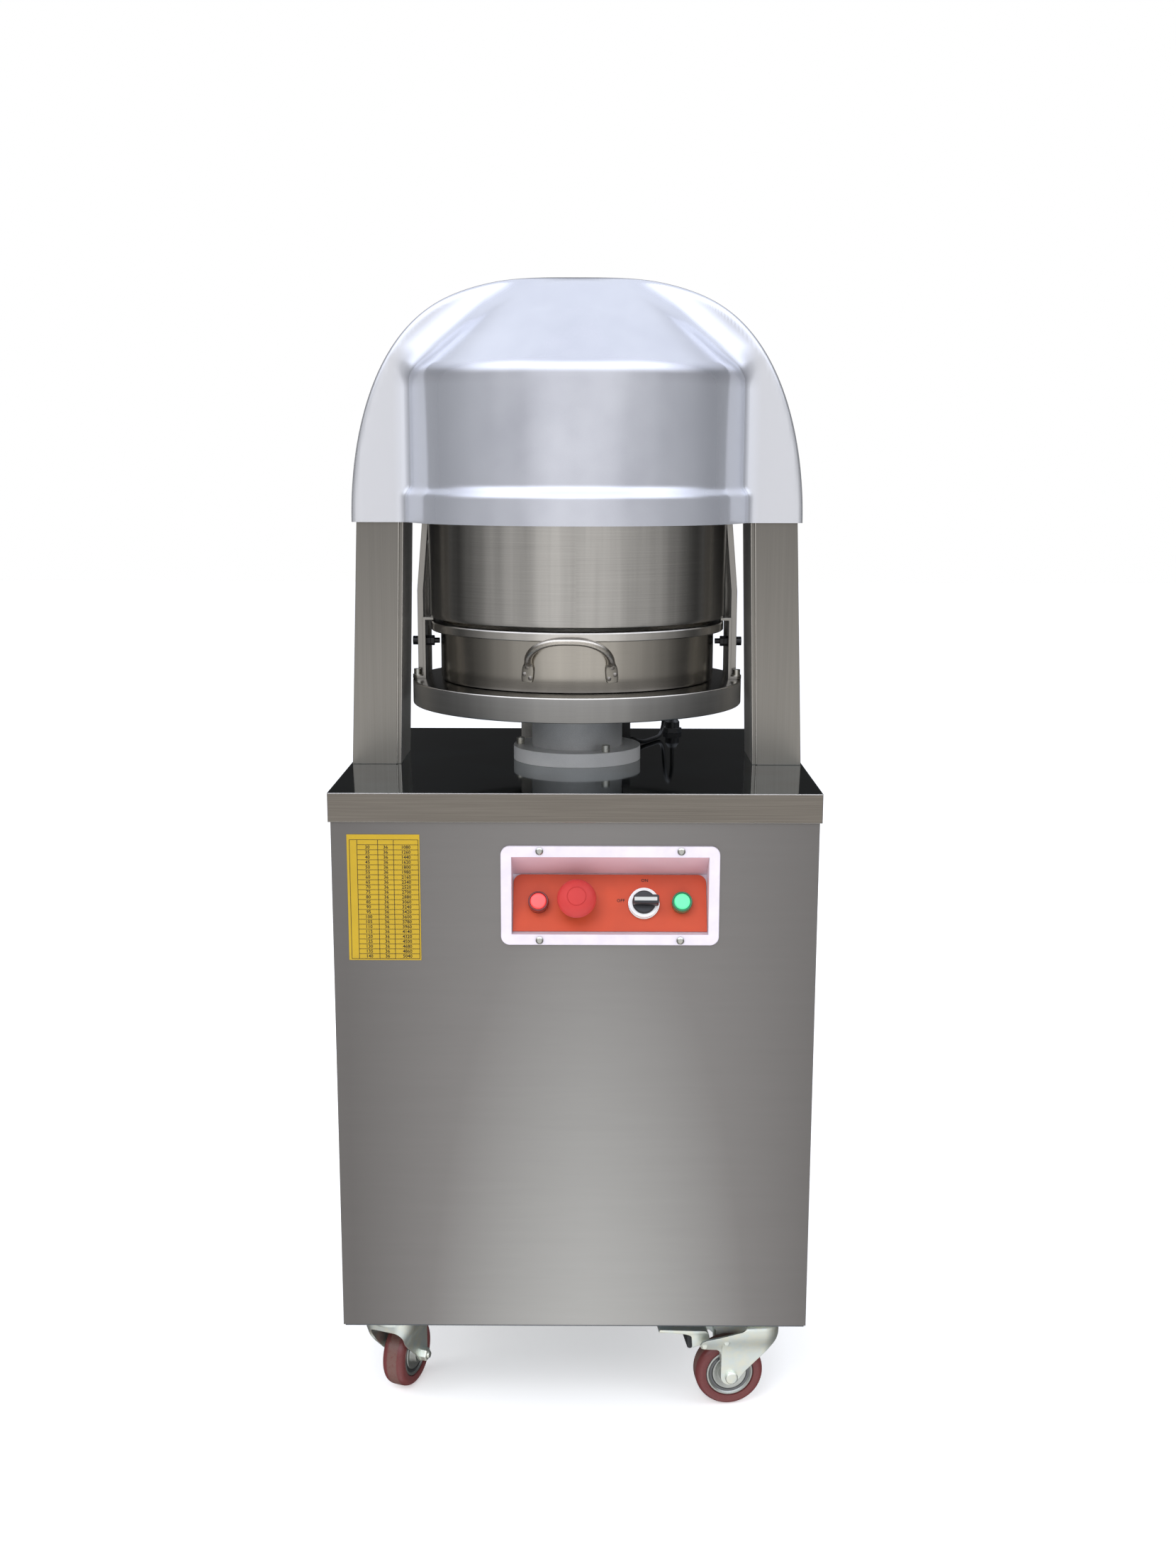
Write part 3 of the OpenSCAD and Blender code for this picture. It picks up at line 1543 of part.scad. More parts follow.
// Wheel: a hub with a boss on each side, and the tyre bonded round it
hub_wheel_r = 25;
boss_r = 11;
wheel_round = 7;
module wheel() {
    half = wheel_w / 2;
    boss = fork_in - 1;
    translate([trail, 0, wheel_r])
        rotate([-90, 0, 0]) {
            color("gray")
                difference() {
                    union() {
                        rod_z(hub_wheel_r, -half + 3, half - 3);
                        rod_z(boss_r, -boss, boss);
                    }
                    rod_z(axle_r + fit, -boss - over, boss + over);
                }
            color("brown")
                rotate_extrude()
                    polygon([
                        [hub_wheel_r + loose / 2, -half], [wheel_r - wheel_round, -half],
                        [wheel_r - 2, -half + 3.5], [wheel_r, -half + 9], [wheel_r, half - 9],
                        [wheel_r - 2, half - 3.5], [wheel_r - wheel_round, half], [hub_wheel_r + loose / 2, half]]);
        }
}
module wheel_front_left() {
    at_caster(0)
        wheel();
}
module wheel_front_right() {
    at_caster(1)
        wheel();
}
module wheel_rear_left() {
    at_caster(2)
        wheel();
}
module wheel_rear_right() {
    at_caster(3)
        wheel();
}

// Brake pedal: turns on the pin at the fork's end, and its toe goes down
pedal_reach = 48;
module pedal() {
    color("dimgray")
        difference() {
            upright(-fork_in + 2, fork_in - 2)
                translate([pedal_s, pedal_z])
                    polygon([[-7, -3], [-7, 7], [-4, 12], [pedal_reach, 17], [pedal_reach + 1, 13], [18, 9],
                        [17.5, -7], [12, -7.5], [6, -5], [-2, -5]]);
            rod_along_y(pedal_pin + fit, -fork_in, fork_in, pedal_s, pedal_z);
        }
}
module pedal_front_right() {
    at_caster(1)
        pedal();
}
module pedal_rear_left() {
    at_caster(2)
        pedal();
}

table_top();
front_panel();
side_panels();
rear_panel();
panel_screws();
base_plate();
cabinet_frame();
deck_plate();
columns();
column_covers();
tie_rods();
head_bridge();
hood();
head_post();
knife_grid();
base_flange();
flange_bolts();
cylinder_barrel();
limit_switch();
switch_cable();
cable_glands();
oil_tank();
motor();
pump();
valve_block();
oil_pipe();
electrical_plate();
electrical_gear();
control_frame();
control_plate();
red_lamp();
green_lamp();
switch_bodies();
chart_label();
caster_plates();
caster_bolts();
lift_disc();
ram();
guide_bar();
drum();
tie_bars();
pan_clamps();
clamp_bolts();
press_segments();
press_carrier();
press_springs();
pan();
pan_handles();
start_button();
selector_knob();
fork_front_left();
fork_front_right();
fork_rear_left();
fork_rear_right();
wheel_front_left();
wheel_front_right();
wheel_rear_left();
wheel_rear_right();
pedal_front_right();
pedal_rear_left();
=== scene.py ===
"""Looks of a hydraulic dough divider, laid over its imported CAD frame.

Lengths are written in millimetres and turned to metres where a mesh is made.
"""

from math import asin, cos, degrees, hypot, pi, radians, sin, sqrt

import bmesh
import bpy
import numpy as np
from bpy.props import FloatProperty, FloatVectorProperty, PointerProperty
from mathutils import Euler, Matrix, Vector


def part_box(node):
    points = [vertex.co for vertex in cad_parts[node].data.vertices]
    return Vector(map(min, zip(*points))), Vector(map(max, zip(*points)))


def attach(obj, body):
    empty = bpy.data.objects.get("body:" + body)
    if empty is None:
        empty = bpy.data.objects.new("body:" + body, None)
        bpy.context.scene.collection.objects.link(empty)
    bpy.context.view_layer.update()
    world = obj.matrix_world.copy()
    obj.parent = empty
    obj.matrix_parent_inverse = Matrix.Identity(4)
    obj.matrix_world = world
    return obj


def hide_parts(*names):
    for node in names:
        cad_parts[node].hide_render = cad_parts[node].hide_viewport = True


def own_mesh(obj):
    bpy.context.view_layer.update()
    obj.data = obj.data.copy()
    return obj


bl_info = {
    "name": "Dough divider looks",
    "version": (1, 0, 0),
    "blender": (4, 5, 0),
    "location": "View3D > Sidebar > Divider",
    "description": "Builds the stage, the materials and the detailed pieces of a dough divider",
    "category": "Object",
}

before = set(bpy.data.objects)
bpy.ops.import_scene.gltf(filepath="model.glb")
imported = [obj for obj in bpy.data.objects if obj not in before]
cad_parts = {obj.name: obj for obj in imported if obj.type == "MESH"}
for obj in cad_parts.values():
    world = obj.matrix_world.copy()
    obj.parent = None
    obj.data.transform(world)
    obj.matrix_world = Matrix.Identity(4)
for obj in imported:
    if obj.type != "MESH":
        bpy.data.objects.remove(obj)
MM = 0.001

# ---- settings


class DIVIDER_PG_stage(bpy.types.PropertyGroup):
    """Where the camera stands and how bright the studio is."""

    lens: FloatProperty(name="Lens", description="Focal length on a 36 mm frame", default=37.80, min=10,
                        max=200, unit="CAMERA")
    place: FloatVectorProperty(name="Camera place", description="Where the lens stands",
                               default=(0.01638, -1.84482, 1.00815), size=3, subtype="TRANSLATION",
                               unit="LENGTH")
    pitch: FloatProperty(name="Pitch", description="Degrees that the camera looks down", default=10.625,
                         min=-90, max=90)
    roll: FloatProperty(name="Roll", description="Degrees of lean to the side", default=-0.14, min=-45,
                        max=45)
    yaw: FloatProperty(name="Yaw", description="Degrees of turn to the left", default=0.146, min=-180,
                       max=180)
    room: FloatProperty(name="Room", description="Brightness of the room that metal mirrors", default=1.0,
                        min=0, max=5)
    key: FloatProperty(name="Softbox", description="Power of the main softbox", default=34, min=0, max=500,
                       unit="POWER")


class DIVIDER_PG_finish(bpy.types.PropertyGroup):
    """How the metal and the moulded pieces are finished."""

    grain: FloatProperty(name="Brush line", description="Width of a brush line in millimetres", default=0.35,
                         min=0.05, max=3)
    wear: FloatProperty(name="Wear", description="Strength of smudges and wear, as a factor", default=1.0,
                        min=0, max=3, subtype="FACTOR")


# ---- shared sizes, in mm, as in the CAD frame

TABLE = 693.0
HOOD = TABLE + 265.0
DISC_TOP = TABLE + 92.0
DISC_R = 183.7
DRUM_R = 164.7
PAN_RIM = DISC_TOP + 64.5
PAN_WALL = 152.0
FRONT = -218.7
PLATE_FOOT = (35.8, FRONT + 5.0, TABLE - 145.5)
PLATE_TILT = 28.0
CONTROLS = {"red": -73.5, "start": -34.0, "selector": 35.0, "green": 74.0}
CONTROL_V = 30.0
CASTERS = {"front_left": (-201.7, -167.7, 69), "front_right": (201.7, -167.7, 187),
           "rear_left": (-201.7, 167.7, 285), "rear_right": (201.7, 167.7, 250)}
BRAKED = ("front_right", "rear_left")
AXLE = (33, 0, 37.5)
SPRING_ANGLES = (20, 160, 200, 340)
SPRING_AT, SPRING_R, SPRING_WIRE, SPRING_TURNS = 95.0, 10.0, 1.6, 5
CABLE = [(62, 83, 8), (66, 83, 8), (70, 85, 6), (75, 90, 4), (80, 98, 3), (85, 107, 3), (90, 117, 3),
         (95, 127, 3), (99, 136, 4), (102, 144, 8), (104, 149, 15), (105, 152, 24), (106, 154, 34),
         (107, 157, 44), (109, 162, 53), (112, 169, 58), (114, 177, 57), (116, 183, 51), (117, 187, 43),
         (117, 188, 34), (117, 188, 26), (117, 188, 17), (117, 188, 8)]
CABLE_D = 5.0

# ---- colour and nodes


def tone(code):
    """A hex colour, turned from sRGB to linear."""
    values = [int(code[i:i + 2], 16) / 255 for i in (1, 3, 5)]
    return tuple(v / 12.92 if v <= 0.04045 else ((v + 0.055) / 1.055) ** 2.4 for v in values) + (1.0,)


def grey(value):
    return (value, value, value, 1.0)


class Level:
    """What one shader node gives. Sums of levels add the nodes that work them out."""

    def __init__(self, nodes, socket):
        self.nodes, self.socket = nodes, socket

    def by(self, operation, other=0.0, clamp=False):
        return self.nodes.maths(operation, self, other, clamp)

    def between(self, low, high):
        """0 up to low, 1 from high on, and straight between them."""
        return self.nodes.add("MapRange", Value=self, From_Min=low, From_Max=high)

    def __add__(self, other):
        return self.by("ADD", other)

    def __sub__(self, other):
        return self.by("SUBTRACT", other)

    def __rsub__(self, other):
        return self.nodes.maths("SUBTRACT", other, self)

    def __mul__(self, other):
        return self.by("MULTIPLY", other)

    def __truediv__(self, other):
        return self.by("DIVIDE", other)

    def __abs__(self):
        return self.by("ABSOLUTE")


class Nodes:
    """A shader tree and the nodes that are added to it."""

    def __init__(self, tree):
        self.tree = tree

    def add(self, kind, out=0, settings=None, **inputs):
        """Adds a node, fills its inputs, named or numbered as i0, and gives one of its outputs."""
        made = self.tree.nodes.new("ShaderNode" + kind)
        for key, value in (settings or {}).items():
            setattr(made, key, value)
        for key, value in inputs.items():
            self.fill(made.inputs[int(key[1:]) if key[1:].isdigit() else key.replace("_", " ")], value)
        return Level(self, made.outputs[out])

    def fill(self, socket, value):
        if isinstance(value, Level):
            self.tree.links.new(value.socket, socket)
        else:
            socket.default_value = value

    def maths(self, operation, a, b=0.0, clamp=False):
        return self.add("Math", 0, {"operation": operation, "use_clamp": clamp}, i0=a, i1=b)

    def split(self, vector):
        return [Level(self, socket) for socket in self.add("SeparateXYZ", i0=vector).socket.node.outputs]

    def join(self, x, y=0.0, z=0.0):
        return self.add("CombineXYZ", i0=x, i1=y, i2=z)

    def mix(self, factor, a, b, mode="MIX"):
        return self.add("Mix", 2, {"data_type": "RGBA", "blend_type": mode}, i0=factor, i6=a, i7=b)

    def noise(self, vector, scale, detail=3.0, rough=0.55):
        return self.add("TexNoise", "Fac", Vector=vector, Scale=scale, Detail=detail, Roughness=rough)

    def ramp(self, value, stops):
        """A colour ramp with stops given as (position, colour)."""
        made = self.add("ValToRGB", i0=value)
        elements = made.socket.node.color_ramp.elements
        while len(elements) < len(stops):
            elements.new(0.5)
        for element, (position, colour) in zip(elements, stops):
            element.position, element.color = position, colour
        return made

    def shade(self, value, low, high, start=0.35):
        """From one colour to another, over the middle of the value's range."""
        return self.ramp(value, [(start, low), (1 - start, high)])

    def varied(self, value, code, share, start=0.35):
        """A tone that goes darker and lighter by a share."""
        base = tone(code)[:3]
        return self.shade(value, tuple(c * (1 - share) for c in base) + (1.0,),
                          tuple(min(1, c * (1 + share)) for c in base) + (1.0,), start)


class Finish(Nodes):
    """A material in the making. mm holds the place in the row frame, in mm."""

    def __init__(self, name):
        self.made = bpy.data.materials.new(name)
        self.made.use_nodes = True
        super().__init__(self.made.node_tree)
        self.mm = self.add("VectorMath", 0, {"operation": "SCALE"}, i0=self.add("TexCoord", "Object"),
                           Scale=1 / MM)

    def stretched(self, *per_mm):
        """The place scaled by its own amount along each axis."""
        return self.add("VectorMath", 0, {"operation": "MULTIPLY"}, i0=self.mm, i1=per_mm)

    def level_lines(self, pitch):
        """Brushed lines that run level, a pitch apart."""
        return self.noise(self.stretched(1 / 90, 1 / 90, 1 / pitch), 1.0, 2.0)

    def facing(self):
        """Which way the surface faces."""
        return self.add("NewGeometry", "Normal")

    def edges(self, radius):
        """The normal with edges rounded by a radius."""
        return self.add("Bevel", "Normal", {"samples": 4}, Radius=radius * MM)

    def bump(self, height, distance, strength, normal=None):
        base = {"Normal": normal} if normal else {}
        return self.add("Bump", "Normal", Height=height, Distance=distance * MM, Strength=strength, **base)

    def give(self, **inputs):
        """Fills the shader's inputs."""
        shader = self.tree.nodes["Principled BSDF"]
        for key, value in inputs.items():
            self.fill(shader.inputs[key.replace("_", " ")], value)


# ---- materials


def brushed_sheet(f, code, grain, rough, edge, share, column=False):
    """Stainless sheet with belt-brushed lines along one axis, faint smudges and folded edges."""
    finish = bpy.context.scene.divider_finish
    fine, wide = [1 / finish.grain] * 3, [1 / (finish.grain * 9)] * 3
    fine[grain], wide[grain] = 1 / (finish.grain * 260), 1 / (finish.grain * 1400)
    streak = f.noise(f.stretched(*fine), 1.0, 2.0)
    band = f.noise(f.stretched(*wide), 1.0, 2.0)
    colour = f.varied(streak * 0.55 + band * 0.45, code, share, 0.36)
    metal = 1.0
    if column:
        x, _, z = f.split(f.mm)
        # Painted shade: the columns' colour goes darker towards their tops.
        foot = f.ramp(z.between(TABLE, TABLE + 267), [(0.0, grey(1.0)), (1.0, grey(0.60))])
        colour = f.mix(1.0, colour, foot, "MULTIPLY")
        # Painted reflection: the columns' inner sides are given a light, less metallic colour for the bright
        # table side of the room that they mirror.
        inner = (f.split(f.facing())[0] * x.by("SIGN") * -1.0).between(0.6, 0.8)
        colour = f.mix(inner, colour, tone("#B9B6B0"))
        metal = 1.0 - inner * 0.7
    smudge = (f.noise(f.mm, 0.011, 4.0) - 0.5) * (0.1 * finish.wear)
    f.give(Base_Color=colour, Roughness=streak * 0.10 + (smudge + (rough - 0.05)), Metallic=metal,
           Normal=f.bump(streak, 0.02, 0.25, f.edges(edge)))


def turned_metal(f, code, rough, share, pitch, sides=(), edge=0.8):
    """A spun or lathe-turned surface: fine rings round Z, and broad streaks up the wall painted light and
    dark as reflections.

    `sides` holds pairs of degrees from the front or the back and a grey level that paints shade on the
    colour.
    """
    x, y, z = f.split(f.mm)
    angle = x.by("ARCTAN2", y)
    radius = (x * x + y * y).by("SQRT")
    rings = f.noise(f.join(angle * 1.5, radius / pitch, z / pitch), 1.0)
    # Painted reflection: broad light and dark streaks up the wall.
    streaks = f.noise(f.join(angle * 9.0, 0.0, z * 0.002), 1.0)
    colour = f.varied(rings * 0.35 + streaks * 0.65, code, share, 0.38)
    # Painted shade: the colour is darkened by a grey level set by how far the wall turns from the front or
    # the back.
    if sides:
        off = abs(x).by("ARCTAN2", abs(y)) / (pi / 2)
        level = f.ramp(off, [(turn / 90, grey(value)) for turn, value in sides])
        colour = f.mix(1.0, colour, level, "MULTIPLY")
    f.give(Base_Color=colour, Roughness=rings * 0.12 + (rough - 0.06), Metallic=1.0,
           Normal=f.bump(rings, 0.02, 0.3, f.edges(edge)))


def blasted_metal(f, code, rough, grain, height, edge=0.8, metal=1.0):
    """Cast or shot-blasted metal: an even fine grain."""
    grit, cloud = f.noise(f.mm, 1 / grain, 3.0, 0.7), f.noise(f.mm, 0.03)
    f.give(Base_Color=f.varied(grit * 0.6 + cloud * 0.4, code, 0.16),
           Roughness=cloud * 0.1 + (rough - 0.05), Metallic=metal,
           Normal=f.bump(grit, height, 0.5, f.edges(edge)))


def zinc_plate(f, code, rough):
    """Zinc-plated pressings and bolts: pale, faintly mottled with yellow and blue passivation."""
    fine = f.noise(f.mm, 1.4)
    cool, warm = (tuple(c * k for c, k in zip(tone(code), factors))
                  for factors in ((0.92, 0.96, 0.99, 1.0), (1.0, 0.985, 0.93, 1.0)))
    f.give(Base_Color=f.shade(f.noise(f.mm, 0.09), cool, warm), Roughness=fine * 0.14 + (rough - 0.07),
           Metallic=1.0, Normal=f.bump(fine, 0.03, 0.35, f.edges(0.5)))


def moulded(f, code, rough, grain, height, coat=0.0, share=0.05, glow=0.0):
    """Moulded plastic or enamel: a faint orange-peel surface and slow variation in tone."""
    peel, cloud = f.noise(f.mm, 1 / grain, 2.0), f.noise(f.mm, 0.02)
    lit = {"Emission_Color": tone(code), "Emission_Strength": glow} if glow else {}
    f.give(Base_Color=f.varied(cloud, code, share), Roughness=cloud * 0.08 + (rough - 0.04),
           Metallic=0.0, Coat_Weight=coat, Coat_Roughness=0.12,
           Normal=f.bump(peel, height, 0.3, f.edges(0.5)), **lit)


def frame_moulding(f):
    """The white moulding round the controls, with the orange plate's light painted as a pink tint on the wall
    that faces down.
    """
    # Painted reflected light: faces that point down are tinted pink.
    down = (f.split(f.facing())[2] * -1.0).between(0.3, 0.9)
    white = f.shade(f.noise(f.mm, 0.05), tone("#E2D9E4"), tone("#EAE2EC"))
    f.give(Base_Color=f.mix(down, white, tone("#CFA9B0")), Roughness=0.30, Coat_Weight=0.3,
           Coat_Roughness=0.12, Normal=f.bump(f.noise(f.mm, 0.15, 2.0), 0.05, 0.3, f.edges(1.6)))


def hood_paint(f):
    """Silver paint on a moulded shell: fine metal flake under a soft clear coat."""
    flake, wave = f.noise(f.mm, 4.0, 2.0, 0.8), f.noise(f.mm, 0.012)
    colour = f.shade(flake * 0.5 + wave * 0.5, tone("#B9BBC4"), tone("#D1D3DA"), 0.36)
    x, _, z = f.split(f.mm)
    side = abs(x)
    # Painted highlight: the bulge is painted lighter towards its sides and the cone a little all round;
    # beside the bulge the arch is given a more neutral grey.
    bulge = side.between(50.0, 150.0) * (1.0 - z.between(HOOD + 140, HOOD + 154))
    cone = z.between(HOOD + 144, HOOD + 164) * 0.35
    colour = f.mix(bulge.by("MAXIMUM", cone), colour, tone("#DEE1E9"))
    colour = f.mix(side.between(178.0, 196.0), colour, tone("#D1D2D6"))
    f.give(Base_Color=colour, Metallic=0.72, Roughness=wave * 0.08 + 0.19, Coat_Weight=0.35,
           Coat_Roughness=0.10, Normal=f.bump(flake, 0.004, 0.2))


def cabinet_sheet(f):
    """Fine-brushed cabinet panels, with a broad soft sheen painted into the colour low in the middle."""
    streak = f.level_lines(0.4)
    band = f.level_lines(7)
    x, _, z = f.split(f.mm)
    # Painted highlight: lighter low in the middle, darker towards the sides and the top.
    sheen = f.maths("SUBTRACT", 1.0, abs((x - 15.0) / 250.0).by("POWER", 1.6), True)
    lower = f.maths("SUBTRACT", 1.0, (z - 110.0) / 560.0 * 0.62, True)
    tint = f.ramp(sheen * lower, [(0.0, tone("#73706D")), (0.45, tone("#8A8784")), (1.0, tone("#BBBAB6"))])
    lines = f.shade(streak * 0.5 + band * 0.5, grey(0.965), grey(1.0))
    f.give(Base_Color=f.mix(1.0, tint, lines, "MULTIPLY"), Metallic=0.75,
           Roughness=streak * 0.08 + 0.42, Normal=f.bump(streak, 0.01, 0.2, f.edges(0.8)))


def table_steel(f):
    """The table: brushed on its folded skirt, and polished where it faces up, with a painted dark reflection
    there and a painted highlight along its rounded edges.
    """
    streak, film = f.level_lines(0.4), f.noise(f.mm, 0.014, 4.0)
    up = f.split(f.facing())[2].between(0.3, 0.8)
    skirt = f.shade(streak, tone("#79736B"), tone("#89837A"))
    # Painted reflection: the top's dark blue-grey stands for the dark room that its polish mirrors.
    top = f.shade(film, tone("#394246"), tone("#4A5A60"))
    soft = f.edges(1.8)
    bent = f.add("VectorMath", 1, {"operation": "DOT_PRODUCT"}, i0=soft, i1=f.facing())
    # Painted highlight: the rounded edges are mixed towards a pale grey.
    fold = (1.0 - bent).between(0.03, 0.16)
    rough = f.add("Mix", i0=up, i2=streak * 0.1 + 0.32, i3=film * 0.06 + 0.03)
    f.give(Base_Color=f.mix(fold, f.mix(up, skirt, top), tone("#DAD7D2")), Metallic=1.0,
           Roughness=rough, Normal=soft)


def tyre_skin(f):
    """Burgundy polyurethane, with the grey band where the tread has rolled."""
    scuff = f.noise(f.mm, 0.35, 5.0, 0.7)
    worn = f.add("Attribute", "Fac", {"attribute_name": "worn"})
    share = worn.by("MULTIPLY", scuff.between(0.22, 0.50), True)
    clean = f.shade(f.noise(f.mm, 1.6), tone("#642F2F"), tone("#783C3A"))
    f.give(Base_Color=f.mix(share, clean, tone("#7F7A6C")), Roughness=share * 0.3 + 0.28,
           Normal=f.bump(scuff, 0.12, 0.4))


# Painted shade: grey levels that darken turned metal by its turn from the front or the back, for the darker
# room it reflects.
DRUM_SIDE_SHADE = ((0, 0.63), (18, 0.75), (32, 0.99), (44, 0.96), (56, 0.66), (66, 0.47), (76, 0.32), (84, 0.11))
PAN_SIDE_SHADE = ((0, 0.72), (35, 0.80), (60, 0.92), (72, 0.80), (84, 0.28))
DISC_SIDE_SHADE = ((0, 0.49), (35, 0.56), (58, 0.84), (75, 1.0), (88, 0.8))
RECIPES = {
    table_steel: {"stainless_table_polished": ()},
    cabinet_sheet: {"stainless_cabinet_fine_brushed": ()},
    hood_paint: {"silver_paint_on_moulded_shell": ()},
    frame_moulding: {"control_frame_white_moulded": ()},
    tyre_skin: {"tyre_burgundy_polyurethane": ()},
    # tone, axis of the brush lines, roughness, edge radius, spread of the tone, whether it is a column
    brushed_sheet: {
        "stainless_column_brushed": ("#98948D", 2, 0.34, 1.2, 0.05, True),
        "stainless_bar_rolled": ("#94918C", 2, 0.24, 0.8, 0.06),
        "valve_machined_alloy": ("#B9BABD", 0, 0.32, 0.5, 0.05),
    },
    # tone, roughness, spread of the tone, pitch of the rings, painted shade levels by side, edge radius
    turned_metal: {
        "stainless_drum_spun": ("#D6D3CD", 0.17, 0.12, 0.6, DRUM_SIDE_SHADE),
        "stainless_pan_satin": ("#CEC8BD", 0.22, 0.06, 0.5, PAN_SIDE_SHADE),
        "stainless_rim_polished": ("#D6D2CB", 0.20, 0.05, 0.4),
        "steel_disc_turned": ("#CBC9C5", 0.38, 0.06, 0.5, DISC_SIDE_SHADE, 1.0),
        "steel_disc_top_polished": ("#807E7B", 0.16, 0.06, 0.4),
        "head_ground_steel": ("#C3C3C2", 0.30, 0.05, 0.4),
    },
    # tone, roughness, size of the grain, its height, edge radius, metallic
    blasted_metal: {
        # Painted highlight: the fold bead is pure white, lighter than its steel.
        "stainless_fold_burnished": ("#FFFFFF", 0.45, 1.2, 0.01, 0.3, 0.3),
        "stainless_handle_satin": ("#C2BCB2", 0.26, 1.5, 0.01),
        "stainless_foot_pressed": ("#9E998F", 0.40, 0.8, 0.02),
        "pin_punched_steel": ("#8C8781", 0.35, 0.5, 0.02),
        "steel_plunger_blasted": ("#BFC0C1", 0.50, 0.7, 0.05, 0.8, 0.4),
        # Painted light: the blasted flange is given pure white so that it stays bright in the disc's shade.
        "steel_flange_blasted_painted_light": ("#FFFFFF", 0.42, 0.6, 0.04, 0.8, 0.25),
        "bolt_blackened": ("#3A3A3B", 0.38, 0.5, 0.02, 0.5),
        "knife_ground_steel": ("#C6C6C4", 0.30, 1.2, 0.01),
        "spring_steel_oiled": ("#4A4B4E", 0.30, 0.5, 0.01),
        "pump_bare_casting": ("#7C7B78", 0.55, 1.2, 0.08),
        "hub_grey_casting": ("#C3C6C1", 0.42, 0.8, 0.03),
        "bearing_dark_steel": ("#77787A", 0.3, 0.6, 0.01),
    },
    # tone, roughness
    zinc_plate: {
        "bolt_bright_zinc": ("#C9C6BE", 0.28),
        "caster_zinc_pressing": ("#F6F9F1", 0.50),
        "ring_chromed": ("#E4E4E2", 0.12),
        "panel_galvanised": ("#B9BCBD", 0.40),
    },
    # tone, roughness, size of the peel, its height, coat, spread of the tone, glow
    moulded: {
        "frame_satin_paint": ("#5B6064", 0.45, 0.8, 0.02),
        "cylinder_enamel": ("#3E444A", 0.35, 0.7, 0.02, 0.3),
        "tank_green_enamel": ("#52695A", 0.30, 0.9, 0.02, 0.4),
        "motor_blue_painted_casting": ("#4A6076", 0.42, 1.4, 0.08, 0.1),
        "food_plastic_white": ("#E6E5DF", 0.45, 0.6, 0.02),
        "control_plate_orange_enamel": ("#C84B2A", 0.46, 0.25, 0.02, 0.0, 0.07),
        "mushroom_red_moulded": ("#C43532", 0.48, 0.5, 0.01),
        "lens_red_translucent": ("#F84A48", 0.22, 0.8, 0.01, 0.6, 0.03, 0.25),
        "lens_green_translucent": ("#5BE8A0", 0.22, 0.8, 0.01, 0.6, 0.03, 0.15),
        "rim_dark_red": ("#6E1F22", 0.25, 0.8, 0.01, 0.5),
        "rim_dark_green": ("#1F6B47", 0.25, 0.8, 0.01, 0.5),
        "bezel_white_glossy": ("#F6F6F6", 0.18, 0.8, 0.0, 0.5),
        "plastic_black_moulded": ("#222326", 0.38, 0.4, 0.02),
        "stripe_pale_grey": ("#C9CBC8", 0.3, 0.5, 0.01),
        "cable_black_sheath": ("#141415", 0.42, 0.5, 0.02),
        "print_black_ink": ("#23211F", 0.6, 0.4, 0.0),
        "label_yellow_film": ("#BE9C10", 0.42, 0.9, 0.01, 0.0, 0.04),
    },
}
MATERIALS = {}


def material(key):
    """Every finish, made once and named for the real material and its process, and for painted light where it
    holds some.
    """
    if key not in MATERIALS:
        recipe, values = next((recipe, rows[key]) for recipe, rows in RECIPES.items() if key in rows)
        finish = Finish(key)
        recipe(finish, *values)
        MATERIALS[key] = finish.made
    return MATERIALS[key]


# ---- meshes and pieces


def put(name, data):
    """A new object in the scene."""
    made = bpy.data.objects.new(name, data)
    bpy.context.scene.collection.objects.link(made)
    return made


def settle(made, body, hides=None):
    """Puts a piece on its body and the CAD node that it stands for."""
    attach(made, body)
    if hides:
        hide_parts(hides)
    return made


def piece(name, mesh, body, keys, hides=None, smooth=35.0):
    """Makes a piece of a mesh, or of a bmesh that is done with; keys are its materials."""
    if isinstance(mesh, bmesh.types.BMesh):
        mesh = mesh_of(name, mesh)
    for key in [keys] if isinstance(keys, str) else keys:
        mesh.materials.append(material(key))
    mesh.shade_smooth()
    if smooth:
        mesh.set_sharp_from_angle(angle=radians(smooth))
    return settle(put(name, mesh), body, hides)


def mesh_of(name, bm):
    bmesh.ops.recalc_face_normals(bm, faces=bm.faces)
    mesh = bpy.data.meshes.new(name)
    bm.to_mesh(mesh)
    bm.free()
    return mesh


def circle(count):
    return [2 * pi * k / count for k in range(count)]


def strip(low, high):
    """The faces between two rings of corners; a ring may be a single point."""
    a, b = len(low), len(high)
    for k in range(max(a, b) if a + b > 2 else 0):
        yield tuple(dict.fromkeys((low[k % a], low[(k + 1) % a], high[(k + 1) % b], high[k % b])))


def lathe(bm, profile, place=Matrix(), steps=96, finish=0):
    """Spins a profile of (radius, height) in mm round Z and adds it, closed where it meets the axis."""
    rings = [[bm.verts.new(place @ (Vector((r * cos(a), r * sin(a), h)) * MM))
              for a in (circle(steps) if r > 1e-6 else [0])] for r, h in profile]
    for index, (low, high) in enumerate(zip(rings, rings[1:])):
        for corners in strip(low, high):
            bm.faces.new(corners).material_index = finish[index] if isinstance(finish, list) else finish


def ring(bm, profile, place=Matrix(), steps=96, finish=0):
    """Spins a closed profile that stays off the axis."""
    lathe(bm, profile + [profile[0]], place, steps, finish)


def arc(a, b, c, radius, share, steps):
    """A small arc in place of the corner b."""
    a, b, c = Vector(a), Vector(b), Vector(c)
    cut = min(radius, (a - b).length * share, (c - b).length * share)
    p, q = b + (a - b).normalized() * cut, b + (c - b).normalized() * cut
    return [tuple(p * (1 - t) ** 2 + b * (2 * t * (1 - t)) + q * t * t)
            for t in (k / steps for k in range(steps + 1))]


